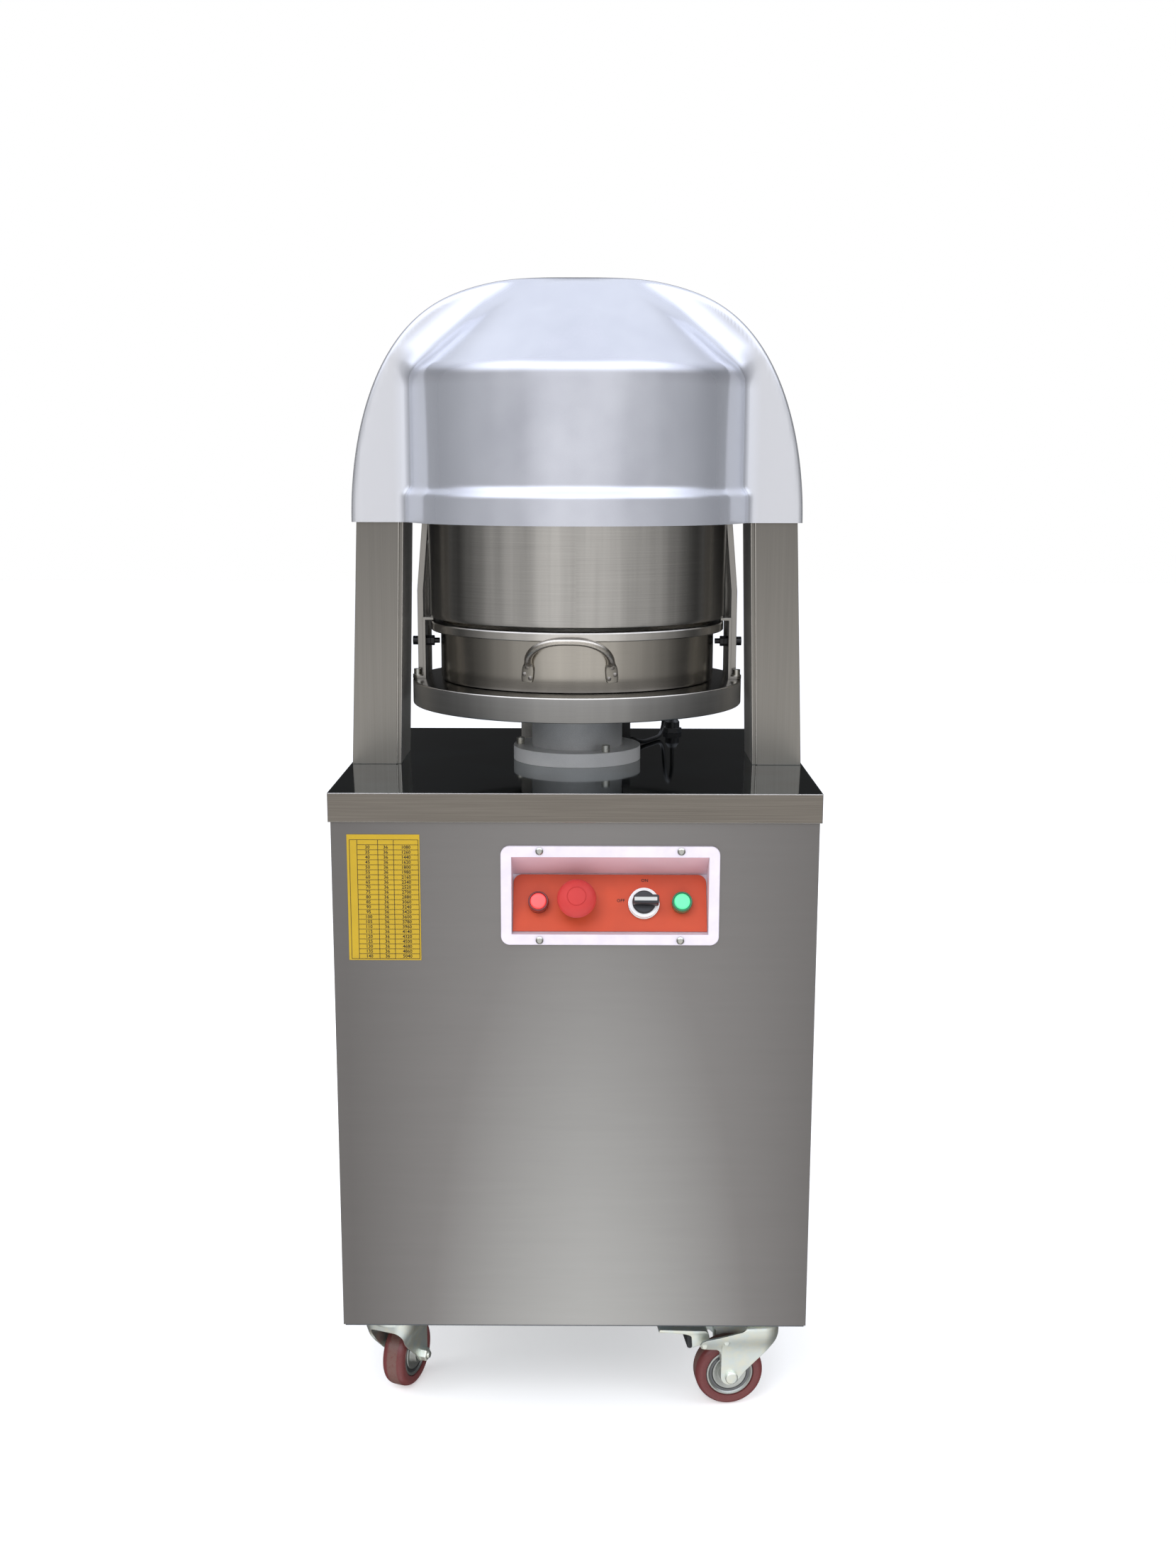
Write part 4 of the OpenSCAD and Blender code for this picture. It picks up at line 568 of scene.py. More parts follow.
def rounded(profile, radius, steps):
    """A profile with each inner corner rounded by about that radius."""
    inner = zip(profile, profile[1:], profile[2:])
    return [profile[0]] + [p for near in inner for p in arc(*near, radius, 0.45, steps)] + [profile[-1]]


def smooth_outline(points, radius):
    """A closed outline with its corners rounded, by one radius or one for each corner."""
    sizes = radius if isinstance(radius, list) else [radius] * len(points)
    near = zip(points[-1:] + points[:-1], points, points[1:] + points[:1], sizes)
    return [p for a, b, c, size in near for p in arc(a, b, c, size, 0.48, 3)]


def box_outline(x0, x1, y0, y1):
    return [(x0, y0), (x1, y0), (x1, y1), (x0, y1)]


def plate(bm, outline, low, high, place=Matrix(), bevel=0.0, finish=0):
    """A flat outline in (x, y) mm given thickness along Z, with its edges rounded."""
    part = bmesh.new()
    face = part.faces.new([part.verts.new(Vector((x, y, low)) * MM) for x, y in outline])
    grown = bmesh.ops.extrude_face_region(part, geom=[face])
    bmesh.ops.translate(part, vec=Vector((0, 0, high - low)) * MM,
                        verts=[v for v in grown["geom"] if isinstance(v, bmesh.types.BMVert)])
    bmesh.ops.recalc_face_normals(part, faces=part.faces)
    if bevel:
        rims = [e for e in part.edges if abs((e.verts[0].co - e.verts[1].co).z) < 1e-7]
        bmesh.ops.bevel(part, geom=rims, offset=bevel * MM, segments=2, profile=0.5, affect="EDGES")
    for face in part.faces:
        face.material_index = finish
    part.transform(place)
    scratch = bpy.data.meshes.new("scratch")
    part.to_mesh(scratch)
    part.free()
    bm.from_mesh(scratch)
    bpy.data.meshes.remove(scratch)


def turned(x, y, z, rx=0.0, ry=0.0, rz=0.0):
    """A place in mm with turns in degrees."""
    turn = Euler([radians(a) for a in (rx, ry, rz)]).to_matrix().to_4x4()
    return Matrix.Translation(Vector((x, y, z)) * MM) @ turn


def on_plate(u, v=CONTROL_V, h=0.0):
    """A place on the control plate: u across, v up its slope, h out from it."""
    return turned(*PLATE_FOOT, rx=90 - PLATE_TILT) @ turned(u, v, h)


def tube(bm, points, radius, sides, squash=None):
    """A round tube along points in mm; squash gives (across, along) factors of its section at each point."""
    points = [Vector(p) for p in points]
    side = Vector((1, 0, 0))
    rows = []
    for i, p in enumerate(points):
        along = (points[min(i + 1, len(points) - 1)] - points[max(i - 1, 0)]).normalized()
        side = (side - side.dot(along) * along).normalized()
        a, b = squash[i] if squash else (1.0, 1.0)
        across, other = side * (radius * a), along.cross(side) * (radius * b)
        rows.append([bm.verts.new((p + across * cos(t) + other * sin(t)) * MM) for t in circle(sides)])
    for low, high in zip(rows, rows[1:]):
        for corners in strip(low, high):
            bm.faces.new(corners)
    for row in (rows[0], rows[-1]):
        bm.faces.new(row)


# ---- stage and cable


class DIVIDER_OT_stage(bpy.types.Operator):
    """Make the camera, the pale floor, the soft lights and the room that the metal reflects"""

    bl_idname = "divider.stage"
    bl_label = "Stage"

    def execute(self, context):
        scene, settings = context.scene, context.scene.divider_stage
        scene.view_settings.view_transform = "Standard"
        scene.view_settings.look = "None"
        data = bpy.data.cameras.new("camera")
        data.lens, data.sensor_width, data.clip_end = settings.lens, 36.0, 50.0
        camera = scene.camera = put("camera", data)
        camera.location = settings.place
        camera.rotation_euler = [radians(a) for a in (90 - settings.pitch, settings.roll, settings.yaw)]

        bm = bmesh.new()
        bmesh.ops.create_grid(bm, x_segments=1, y_segments=1, size=14.0)
        floor = put("floor", mesh_of("floor", bm))
        f = Finish("studio_floor_matt_white")
        pale = f.shade(f.noise(f.mm, 0.002, 2.0), grey(0.93), grey(0.96), 0.3)
        f.give(Base_Color=pale, Roughness=0.9, Emission_Color=grey(1.0), Emission_Strength=0.42)
        floor.data.materials.append(f.made)
        floor.visible_glossy = False

        for name, place, aim, size, power in (
                ("softbox_front", (-0.9, -2.6, 2.9), (0, 0, 0.7), 1.6, 1.0),
                ("softbox_right", (2.4, -1.0, 1.9), (0, 0, 0.8), 1.2, 0.45),
                ("softbox_left", (-2.5, -0.6, 1.6), (0, 0, 0.8), 1.2, 0.45),
                ("softbox_back", (0.3, 2.4, 2.8), (0, 0, 0.9), 1.5, 0.6)):
            lamp = put(name, bpy.data.lights.new(name, "AREA"))
            lamp.data.size = size
            lamp.data.energy = settings.key * power
            lamp.visible_glossy = False
            lamp.location = place
            lamp.rotation_euler = (Vector(aim) - Vector(place)).to_track_quat("-Z", "Y").to_euler()
        self.room(scene, settings)
        return {"FINISHED"}

    def room(self, scene, settings):
        """What metal mirrors: bright in front, falling off to dark sides and a dark room behind."""
        scene.world = bpy.data.worlds.new("studio_room")
        scene.world.use_nodes = True
        w = Nodes(scene.world.node_tree)
        x, y, z = w.split(w.add("TexCoord", "Generated"))
        turn = abs(x.by("ARCTAN2", y * -1.0)) / pi
        walls = w.ramp(turn, [(at, grey(level)) for at, level in (
            (0.0, 1.0), (0.10, 0.95), (0.20, 0.62), (0.33, 0.38), (0.46, 0.17), (0.56, 0.04), (0.66, 0.13),
            (1.0, 0.03))])
        streak = w.noise(w.join(x.by("ARCTAN2", y) * 5.0), 1.0, 2.0).between(0.25, 0.75)
        room = walls * (streak * 0.5 + 0.75)
        above = z.between(0.18, 0.50)
        lamps = above * (1.0 - z.between(0.80, 0.97)) * (1.0 - turn.between(0.36, 0.56)) * 1.3
        zenith = w.add("Mix", i0=z.between(0.35, 0.75), i2=room, i3=1.2)
        sky = w.add("Mix", i0=w.add("LightPath", "Is Glossy Ray"), i2=0.72, i3=zenith + lamps)
        seen = w.add("LightPath", "Is Camera Ray")
        tint = w.mix(above, (0.99, 0.99, 1.0, 1.0), (0.90, 0.94, 1.05, 1.0))
        shader = w.tree.nodes["Background"]
        w.fill(shader.inputs["Color"], w.mix(seen, tint, grey(1.0)))
        w.fill(shader.inputs["Strength"], w.add("Mix", i0=seen, i2=sky * settings.room, i3=1.0))


class DIVIDER_OT_cable(bpy.types.Operator):
    """Lay the limit switch's cable along its route to the gland"""

    bl_idname = "divider.cable"
    bl_label = "Switch cable"

    def execute(self, context):
        points = [Vector((x, y, z + TABLE)) * MM for x, y, z in CABLE]
        line = bpy.data.curves.new("switch_cable_line", "CURVE")
        line.dimensions = "3D"
        line.bevel_depth = CABLE_D / 2 * MM
        line.bevel_resolution = 5
        line.use_fill_caps = True
        spline = line.splines.new("POLY")
        spline.points.add(len(points) - 1)
        for spot, place in zip(spline.points, points):
            spot.co = (*place, 1)
        line.materials.append(material("cable_black_sheath"))
        cable = settle(put("switch_cable_run", line), "base", "switch_cable")
        return {"FINISHED"}


# ---- hood


HOOD_HALF, HOOD_RISE, HOOD_DEEP, HOOD_SHELL = 243.4, 251.5, 54.0, 4.0


def soft_min(a, b, k):
    h = np.maximum(k - np.abs(a - b), 0) / k
    return np.minimum(a, b) - h * h * k / 4


def soft_max(a, b, k):
    return -soft_min(-a, -b, k)


def hood_field(p, inset):
    """How far points lie outside the hood: an arch joined softly to a round bulge with a cone on it."""
    x, y, z = np.abs(p[..., 0]), np.abs(p[..., 1]), p[..., 2]
    # The last soft_max takes 1 mm off the outline, so the arch starts that much larger.
    a, b = HOOD_HALF + 1.0 - inset, HOOD_RISE + 1.0 - inset
    power = 1 / 0.283
    xs, zs = np.maximum(x, 1e-6) / a, np.maximum(z, 0) / b
    slope = np.sqrt((power * xs ** (power - 1) / a) ** 2 + (2 * zs / b) ** 2) + 1e-6
    outline = (xs ** power + zs ** 2 - 1) / slope
    arch = soft_max(outline, y - (HOOD_DEEP - inset), 9.0)
    turn = np.degrees(np.arctan2(y, np.maximum(x, 1e-6)))
    chord = np.cos(np.radians(np.clip(turn - 25.0, -40, 40)))
    r = np.hypot(x, y)
    r = np.maximum(r, soft_max(r, r * chord * (186.0 / 184.2), 1.0))
    flare = soft_max(r - (192 - inset), r * 0.86 + z * 0.51 - (179.6 - inset), 1.6)
    band = np.maximum(flare, z - 90)
    cone = r * 0.672 + z * 0.740 - (242.2 - inset)
    upper = soft_max(soft_max(r - (186.4 - inset), cone, 7.0), z - (HOOD_RISE - 0.5 - inset), 12.0)
    bulge = soft_min(band, upper, 2.0)
    # The corner between arch and bulge is tight beside the bulge and wide beside the cone.
    rise = np.clip((z - 140) / 45, 0, 1)
    joined = soft_min(arch, bulge, 7.0 + 23.0 * rise * rise * (3 - 2 * rise))
    return soft_max(joined, outline, 4.0)


def hood_surface(azimuths, rises, inset):
    """Points where rays from the middle of the hood's lower edge leave it, and the normals there."""
    a, e = np.meshgrid(azimuths, rises)
    rays = np.stack([np.cos(e) * np.cos(a), np.cos(e) * np.sin(a), np.sin(e)], -1)
    low, high = np.full(a.shape, 60.0), np.full(a.shape, 330.0)
    for _ in range(26):
        mid = (low + high) / 2
        outside = hood_field(rays * mid[..., None], inset) > 0
        high, low = np.where(outside, mid, high), np.where(outside, low, mid)
    points = rays * ((low + high) / 2)[..., None]
    steps = np.eye(3) * 0.9
    normals = np.stack([hood_field(points + s, inset) - hood_field(points - s, inset) for s in steps], -1)
    return points, normals / np.linalg.norm(normals, axis=-1, keepdims=True)


class DIVIDER_OT_hood(bpy.types.Operator):
    """Build the moulded hood as one shell with soft ridges, outside and inside"""

    bl_idname = "divider.hood"
    bl_label = "Hood"

    def execute(self, context):
        dense, plain = np.arange(-34, 34, 0.4), np.arange(34, 146, 1.0)
        turns = np.radians(np.concatenate([dense, plain, dense + 180, plain + 180]))
        rises = np.radians(np.concatenate([np.linspace(0, 16, 42), np.linspace(16.5, 36, 26),
                                           np.linspace(36.6, 44, 16), np.linspace(44.6, 89.2, 96)]))
        verts, faces, normals, lips = [], [], [], []
        for inset, flip, heights in ((0.0, 1, rises), (HOOD_SHELL, -1, rises[::3])):
            points, around = hood_surface(turns, heights, inset)
            rows, count = points.shape[:2]
            first = len(verts)
            verts += list(points.reshape(-1, 3)) + [np.array([0, 0, HOOD_RISE - 0.5 - inset])]
            normals += list((around * flip).reshape(-1, 3)) + [np.array([0, 0, flip])]
            rings = [range(first + i * count, first + (i + 1) * count) for i in range(rows)]
            lips.append(rings[0])
            rings.append([first + rows * count])
            faces += [face[::flip] for low, high in zip(rings, rings[1:]) for face in strip(low, high)]
        shell_faces = len(faces)
        faces += strip(*reversed(lips))
        mesh = bpy.data.meshes.new("hood_shell")
        mesh.from_pydata([tuple((v + (0, 0, HOOD)) * MM) for v in verts], [], faces)
        mesh.update()
        shell = piece("hood_shell", mesh, "base", "silver_paint_on_moulded_shell", "hood", 0)
        mesh.normals_split_custom_set([tuple(normals[v]) if polygon.index < shell_faces else (0, 0, -1)
                                       for polygon in mesh.polygons for v in polygon.vertices])
        shell.data.update()
        return {"FINISHED"}


# ---- cabinet, columns, lift


NODE_FINISHES = {
    "stainless_table_polished": "table_top",
    "stainless_cabinet_fine_brushed": "front_panel side_panels rear_panel",
    "stainless_column_brushed": "columns column_covers",
    "stainless_bar_rolled": "guide_bar tie_bars pan_clamps",
    "bolt_bright_zinc": "panel_screws tie_rods flange_bolts oil_pipe caster_bolts",
    "bolt_blackened": "clamp_bolts",
    "caster_zinc_pressing": "caster_plates",
    "frame_satin_paint": "base_plate cabinet_frame deck_plate head_bridge",
    "cylinder_enamel": "cylinder_barrel",
    "tank_green_enamel": "oil_tank",
    "motor_blue_painted_casting": "motor",
    "pump_bare_casting": "pump",
    "valve_machined_alloy": "valve_block",
    "panel_galvanised": "electrical_plate",
    "plastic_black_moulded": "limit_switch electrical_gear switch_bodies cable_glands",
    "head_ground_steel": "press_carrier head_post",
    "knife_ground_steel": "knife_grid",
    "food_plastic_white": "press_segments",
    "steel_plunger_blasted": "ram",
    "steel_flange_blasted_painted_light": "base_flange",
    "control_plate_orange_enamel": "control_plate",
    "control_frame_white_moulded": "control_frame",
    "label_yellow_film": "chart_label",
}


class DIVIDER_OT_cabinet(bpy.types.Operator):
    """Finish the cabinet, the table, the columns and what stands inside"""

    bl_idname = "divider.cabinet"
    bl_label = "Cabinet and columns"

    def execute(self, context):
        for key, names in NODE_FINISHES.items():
            for name in names.split():
                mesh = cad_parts[name].data
                mesh.materials.clear()
                mesh.materials.append(material(key))
                mesh.shade_smooth()
                mesh.set_sharp_from_angle(angle=radians(30))
        self.part_finish("clamp_bolts", "bolt_bright_zinc", lambda p: p.z < (DISC_TOP + 20) * MM)
        back = on_plate(CONTROLS["selector"]).inverted()
        self.part_finish("switch_bodies", "bezel_white_glossy",
                         lambda p: (back @ p).z > 0.02 * MM and (back @ p).xy.length < 16 * MM)
        return {"FINISHED"}

    def part_finish(self, name, key, test):
        """A second finish on those faces of a CAD node whose middle passes the test."""
        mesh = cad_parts[name].data
        mesh.materials.append(material(key))
        for face in mesh.polygons:
            if test(face.center):
                face.material_index = 1


class DIVIDER_OT_seams(bpy.types.Operator):
    """Roll the bright folded edges of the columns and of the table's skirt"""

    bl_idname = "divider.seams"
    bl_label = "Column seams"

    def execute(self, context):
        for side, label in ((-1, "left"), (1, "right")):
            bm = bmesh.new()
            for foot, head, depth, radius in ((199.0, 191.9, -48.0, 0.7), (195.0, 187.6, -45.9, 0.6)):
                tube(bm, [(side * foot, depth, TABLE + 0.6), (side * head, depth, TABLE + 287.4)], radius, 12)
            piece("column_seam_" + label, bm, "base", "stainless_rim_polished")
        low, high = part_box("table_top")
        x, y = high.x / MM - 0.8, low.y / MM + 0.35
        # A known fault: tube() has no section along X, so table_fold has no surface and can't be seen.
        bm = bmesh.new()
        for z, radius in ((low.z / MM + 0.5, 0.55), (high.z / MM - 0.6, 0.9)):
            tube(bm, [(-x, y, z), (x, y, z)], radius, 16)
        # The beads' pure white finish is a painted highlight.
        piece("table_fold", bm, "base", "stainless_fold_burnished")
        return {"FINISHED"}


class DIVIDER_OT_lift(bpy.types.Operator):
    """Turn the lift disc and the drum with their rims and edges"""

    bl_idname = "divider.lift"
    bl_label = "Disc and drum"

    def execute(self, context):
        bm = bmesh.new()
        top, low, web, hub, wall = DISC_TOP, DISC_TOP - 26.4, DISC_TOP - 12, 61, DISC_R - 16
        lathe(bm, rounded([(0, low), (hub, low), (hub, web), (wall, web), (wall, low), (DISC_R, low),
                           (DISC_R, top), (0, top)], 1.4, 3), steps=192)
        for face in bm.faces:
            middle = face.calc_center_median()
            if middle.z > (top - 0.3) * MM:
                face.material_index = 1
            elif middle.z > (top - 1.5) * MM and hypot(middle.x, middle.y) > (DISC_R - 1.3) * MM:
                face.material_index = 2
        piece("lift_disc_turned", bm, "carriage",
              ["steel_disc_turned", "steel_disc_top_polished", "stainless_rim_polished"],
              "lift_disc")
        bm = bmesh.new()
        low, high, inside = DISC_TOP + 69.6, DISC_TOP + 198.0, DRUM_R - 2.5
        ring(bm, rounded([(inside, low + 2), (inside, high - 1), (DRUM_R, high - 1), (DRUM_R, high - 14),
                          (DRUM_R, low + 4), (164.0, low), (inside, low)], 0.8, 2), steps=192)
        piece("drum_spun", bm, "carriage", "stainless_drum_spun", "drum")
        return {"FINISHED"}


class DIVIDER_OT_springs(bpy.types.Operator):
    """Wind the press's return springs, which on the real press shorten as the press plate rises; here they
    are one fixed coil.
    """

    bl_idname = "divider.springs"
    bl_label = "Return springs"

    def execute(self, context):
        low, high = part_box("press_springs")
        foot, head = low.z / MM + SPRING_WIRE, high.z / MM - SPRING_WIRE
        steps = SPRING_TURNS * 28
        bm = bmesh.new()
        for angle in SPRING_ANGLES:
            x, y = SPRING_AT * cos(radians(angle)), SPRING_AT * sin(radians(angle))
            turns = [2 * pi * SPRING_TURNS * i / steps for i in range(steps + 1)]
            tube(bm, [(x + SPRING_R * cos(t), y + SPRING_R * sin(t), foot + (head - foot) * i / steps)
                      for i, t in enumerate(turns)], SPRING_WIRE, 12)
        springs = piece("return_springs", bm, "press_plate", "spring_steel_oiled",
                        "press_springs")
        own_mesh(springs)
        return {"FINISHED"}


class DIVIDER_OT_pan(bpy.types.Operator):
    """Spin the pan with its folded rim, and bend its handles with their flattened, riveted feet"""

    bl_idname = "divider.pan"
    bl_label = "Pan"

    def execute(self, context):
        bm = bmesh.new()
        z0, z1 = DISC_TOP, PAN_RIM
        outside = [(0, z0), (147, z0), (150.6, z0 + 1), (PAN_WALL, z0 + 4.5), (PAN_WALL, z1 - 3.2),
                   (153.5, z1 - 2.5), (160.5, z1 - 2.5), (160.5, z1 - 9.5)]
        rim = [(162.0, z1 - 9.5), (163, z1 - 8.6), (163, z1 - 1.2), (162, z1), (151.0, z1), (149.5, z1 - 1.2)]
        inside = [(149.5, z0 + 9), (148.3, z0 + 5.6), (145, z0 + 4), (0, z0 + 4)]
        lathe(bm, outside + rim + inside, steps=192,
              finish=[0] * (len(outside) - 1) + [1] * (len(rim) + 1) + [0] * len(inside))
        piece("pan_spun", bm, "pan", ["stainless_pan_satin", "stainless_rim_polished"], "pan")
        self.handles()
        return {"FINISHED"}

    def handles(self):
        """One tube for each handle: round over the arch, drawn flat at the feet."""
        half, arch, tube_r = 43, 36, 4.0
        lean, twist, foot = radians(43), -2.5, degrees(asin(half / PAN_WALL))
        rivets_z = DISC_TOP + 21.5
        root_y, root_z = -PAN_WALL * cos(radians(foot)) - 1.6, rivets_z + 8.5
        path, shape = [], []
        for z, wide, thick in ((-18.2, 1.35, 0.3), (-14, 1.56, 0.3), (-6, 1.56, 0.3), (-2.5, 1.45, 0.42),
                               (0.5, 1.2, 0.75)):
            path.append(Vector((half + 1.5 * (-z / 18), root_y - 0.2 * thick, root_z + z)))
            shape.append((wide, thick))
        bend = [radians(90 * k / 12) for k in range(13)]
        for out, x in [(4.5 + 31.5 * sin(a), 5.0 + 38.0 * cos(a) ** 0.95) for a in bend] + [(arch, 0)]:
            path.append(Vector((x, root_y - out * sin(lean), root_z + out * cos(lean))))
            shape.append((1.0, 1.0))
        whole = path + [Vector((-p.x, p.y, p.z)) for p in reversed(path[:-1])]
        for label, back in (("front", 0.0), ("rear", 180.0)):
            bm = bmesh.new()
            tube(bm, whole, tube_r, 20, shape + list(reversed(shape[:-1])))
            # The feet follow the round of the wall.
            for v in bm.verts:
                level = min(1.0, max(0.0, 1 - (v.co.z / MM - root_z) / 6))
                x = min(abs(v.co.x) / MM, 60.0)
                v.co.y += level * (sqrt(PAN_WALL ** 2 - half ** 2) - sqrt(PAN_WALL ** 2 - x * x)) * MM
            for face in bm.faces:
                if face.calc_center_median().z < (root_z - 1.5) * MM:
                    face.material_index = 2
            for side in (-1, 1):
                wall = turned(0, 0, 0, rz=side * foot)
                for dx, dz in ((0.5, 6), (3.6, -1.5), (-3, -5.5)):
                    at = wall @ turned(side * dx, -PAN_WALL - 2.7, rivets_z + dz, rx=90)
                    lathe(bm, [(0, 0.9), (1.2, 0.8), (2.1, 0.2), (2.1, -0.6), (0, -0.6)], at, 20, 1)
            bmesh.ops.transform(bm, matrix=turned(0, 0, 0, rz=twist + back), verts=bm.verts)
            piece("pan_handle_" + label, bm, "pan",
                  ["stainless_handle_satin", "pin_punched_steel", "stainless_foot_pressed"],
                  "pan_handles", 50)


# ---- controls and chart


def words(name, text, size, place, spacing=1.0):
    """Printed lettering, a tenth of a millimetre thick."""
    made = bpy.data.curves.new(name, "FONT")
    made.body = text
    made.size = size * MM
    made.space_character = spacing
    made.align_x = made.align_y = "CENTER"
    made.extrude = 0.05 * MM
    made.offset = 0.04 * MM
    made.resolution_u = 2
    made.materials.append(material("print_black_ink"))
    print_on = put(name, made)
    print_on.matrix_world = place
    settle(print_on, "base")


class DIVIDER_OT_controls(bpy.types.Operator):
    """Build the lamps, the mushroom button and the selector, and print its two positions"""

    bl_idname = "divider.controls"
    bl_label = "Controls"

    def execute(self, context):
        for label in ("red", "green"):
            bm = bmesh.new()
            at = on_plate(CONTROLS[label])
            ring(bm, rounded([(8.0, 0.1), (10.5, 0.1), (10.5, 11.2), (9.9, 12.0), (8.9, 12.0), (8.7, 7),
                              (8.0, 7)], 0.4, 2), at, 64, 1)
            lathe(bm, rounded([(0, 7), (8.6, 7), (8.6, 11.4), (7.6, 12.8), (4.0, 13.0), (0, 13.0)], 0.8, 3),
                  at, 64)
            lathe(bm, [(0, -30), (8, -30), (8, 0.3), (0, 0.3)], at, 32, 1)
            piece("lamp_" + label, bm, "base", ["lens_%s_translucent" % label, "rim_dark_" + label],
                  label + "_lamp")

        bm = bmesh.new()
        lathe(bm, [(0, 0.4), (7, 0.4), (7, 17), (14, 17.6), (18.4, 19), (19.8, 21), (20, 23), (19.5, 26),
                   (18.2, 28.6), (15.6, 30.8), (12.6, 32.2), (10.0, 33.0), (9.8, 32.7), (9.3, 32.6),
                   (9.0, 33.1), (5, 33.7), (0, 33.9)], on_plate(CONTROLS["start"]))
        piece("mushroom_head", bm, "start_button", "mushroom_red_moulded", "start_button", 28)

        bm = bmesh.new()
        at = on_plate(CONTROLS["selector"])
        ring(bm, rounded([(15.45, 0.1), (16.4, 0.1), (16.4, 1.2), (15.9, 1.6), (15.45, 1.6)], 0.3, 2), at)
        piece("selector_ring", bm, "base", "ring_chromed")
        bm = bmesh.new()
        lathe(bm, rounded([(0, 2.4), (12, 2.4), (12, 9.5), (11.2, 10.5), (0, 10.5)], 0.6, 3), at, 72)
        grip = smooth_outline([(-11, -4.2), (12, -4.7), (15, -4.2), (15, 4.2), (12, 4.7), (-11, 4.2)], 1.2)
        plate(bm, grip, 9, 23.2, at, 0.9)
        plate(bm, smooth_outline(box_outline(-10.2, 13.0, -1.9, 1.9), 0.6), 22.6, 23.7, at, 0.25, 1)
        piece("selector_grip", bm, "power_selector", ["plastic_black_moulded", "stripe_pale_grey"],
              "selector_knob")

        words("print_on", "ON", 4.6, on_plate(36.0, 54.6, 0.15), 1.05)
        words("print_off", "OFF", 4.6, on_plate(11.2, 33.2, 0.15), 1.05)
        return {"FINISHED"}


class DIVIDER_OT_chart(bpy.types.Operator):
    """Print the ruled chart of weights on its yellow film"""

    bl_idname = "divider.chart"
    bl_label = "Chart label"

    def execute(self, context):
        weights = range(30, 145, 5)
        rows = len(weights)
        low, high = (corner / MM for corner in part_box("chart_label"))
        top, bottom, face = high.z - 5.5, low.z + 1.5, low.y - 0.08
        pitch = (top - bottom) / (rows + 1)
        edge, columns = low.x + 2.8, (low.x + 10.5, low.x + 31.5, low.x + 47.5, high.x - 1.5)
        flat = turned(0, face, 0, rx=90)
        bm = bmesh.new()
        for k in range(rows + 2):
            z = top - k * pitch
            left = columns[0] if 0 < k <= rows else edge
            plate(bm, box_outline(left, columns[-1], z - 0.22, z + 0.22), 0, 0.05, flat)
        for x in (edge,) + columns:
            plate(bm, box_outline(x - 0.25, x + 0.25, bottom, top), 0, 0.05, flat)
        piece("chart_ruling", bm, "base", "print_black_ink")
        texts = (("each", weights), ("pieces", [36] * rows), ("total", [36 * w for w in weights]))
        for (label, entries), left, right in zip(texts, columns, columns[1:]):
            for k, entry in enumerate(entries):
                at = turned((left + right) / 2, face - 0.05, top - (k + 1.5) * pitch, rx=90)
                words("chart_%s_%02d" % (label, k + 1), str(entry), pitch * 0.92, at)
        return {"FINISHED"}


# ---- casters


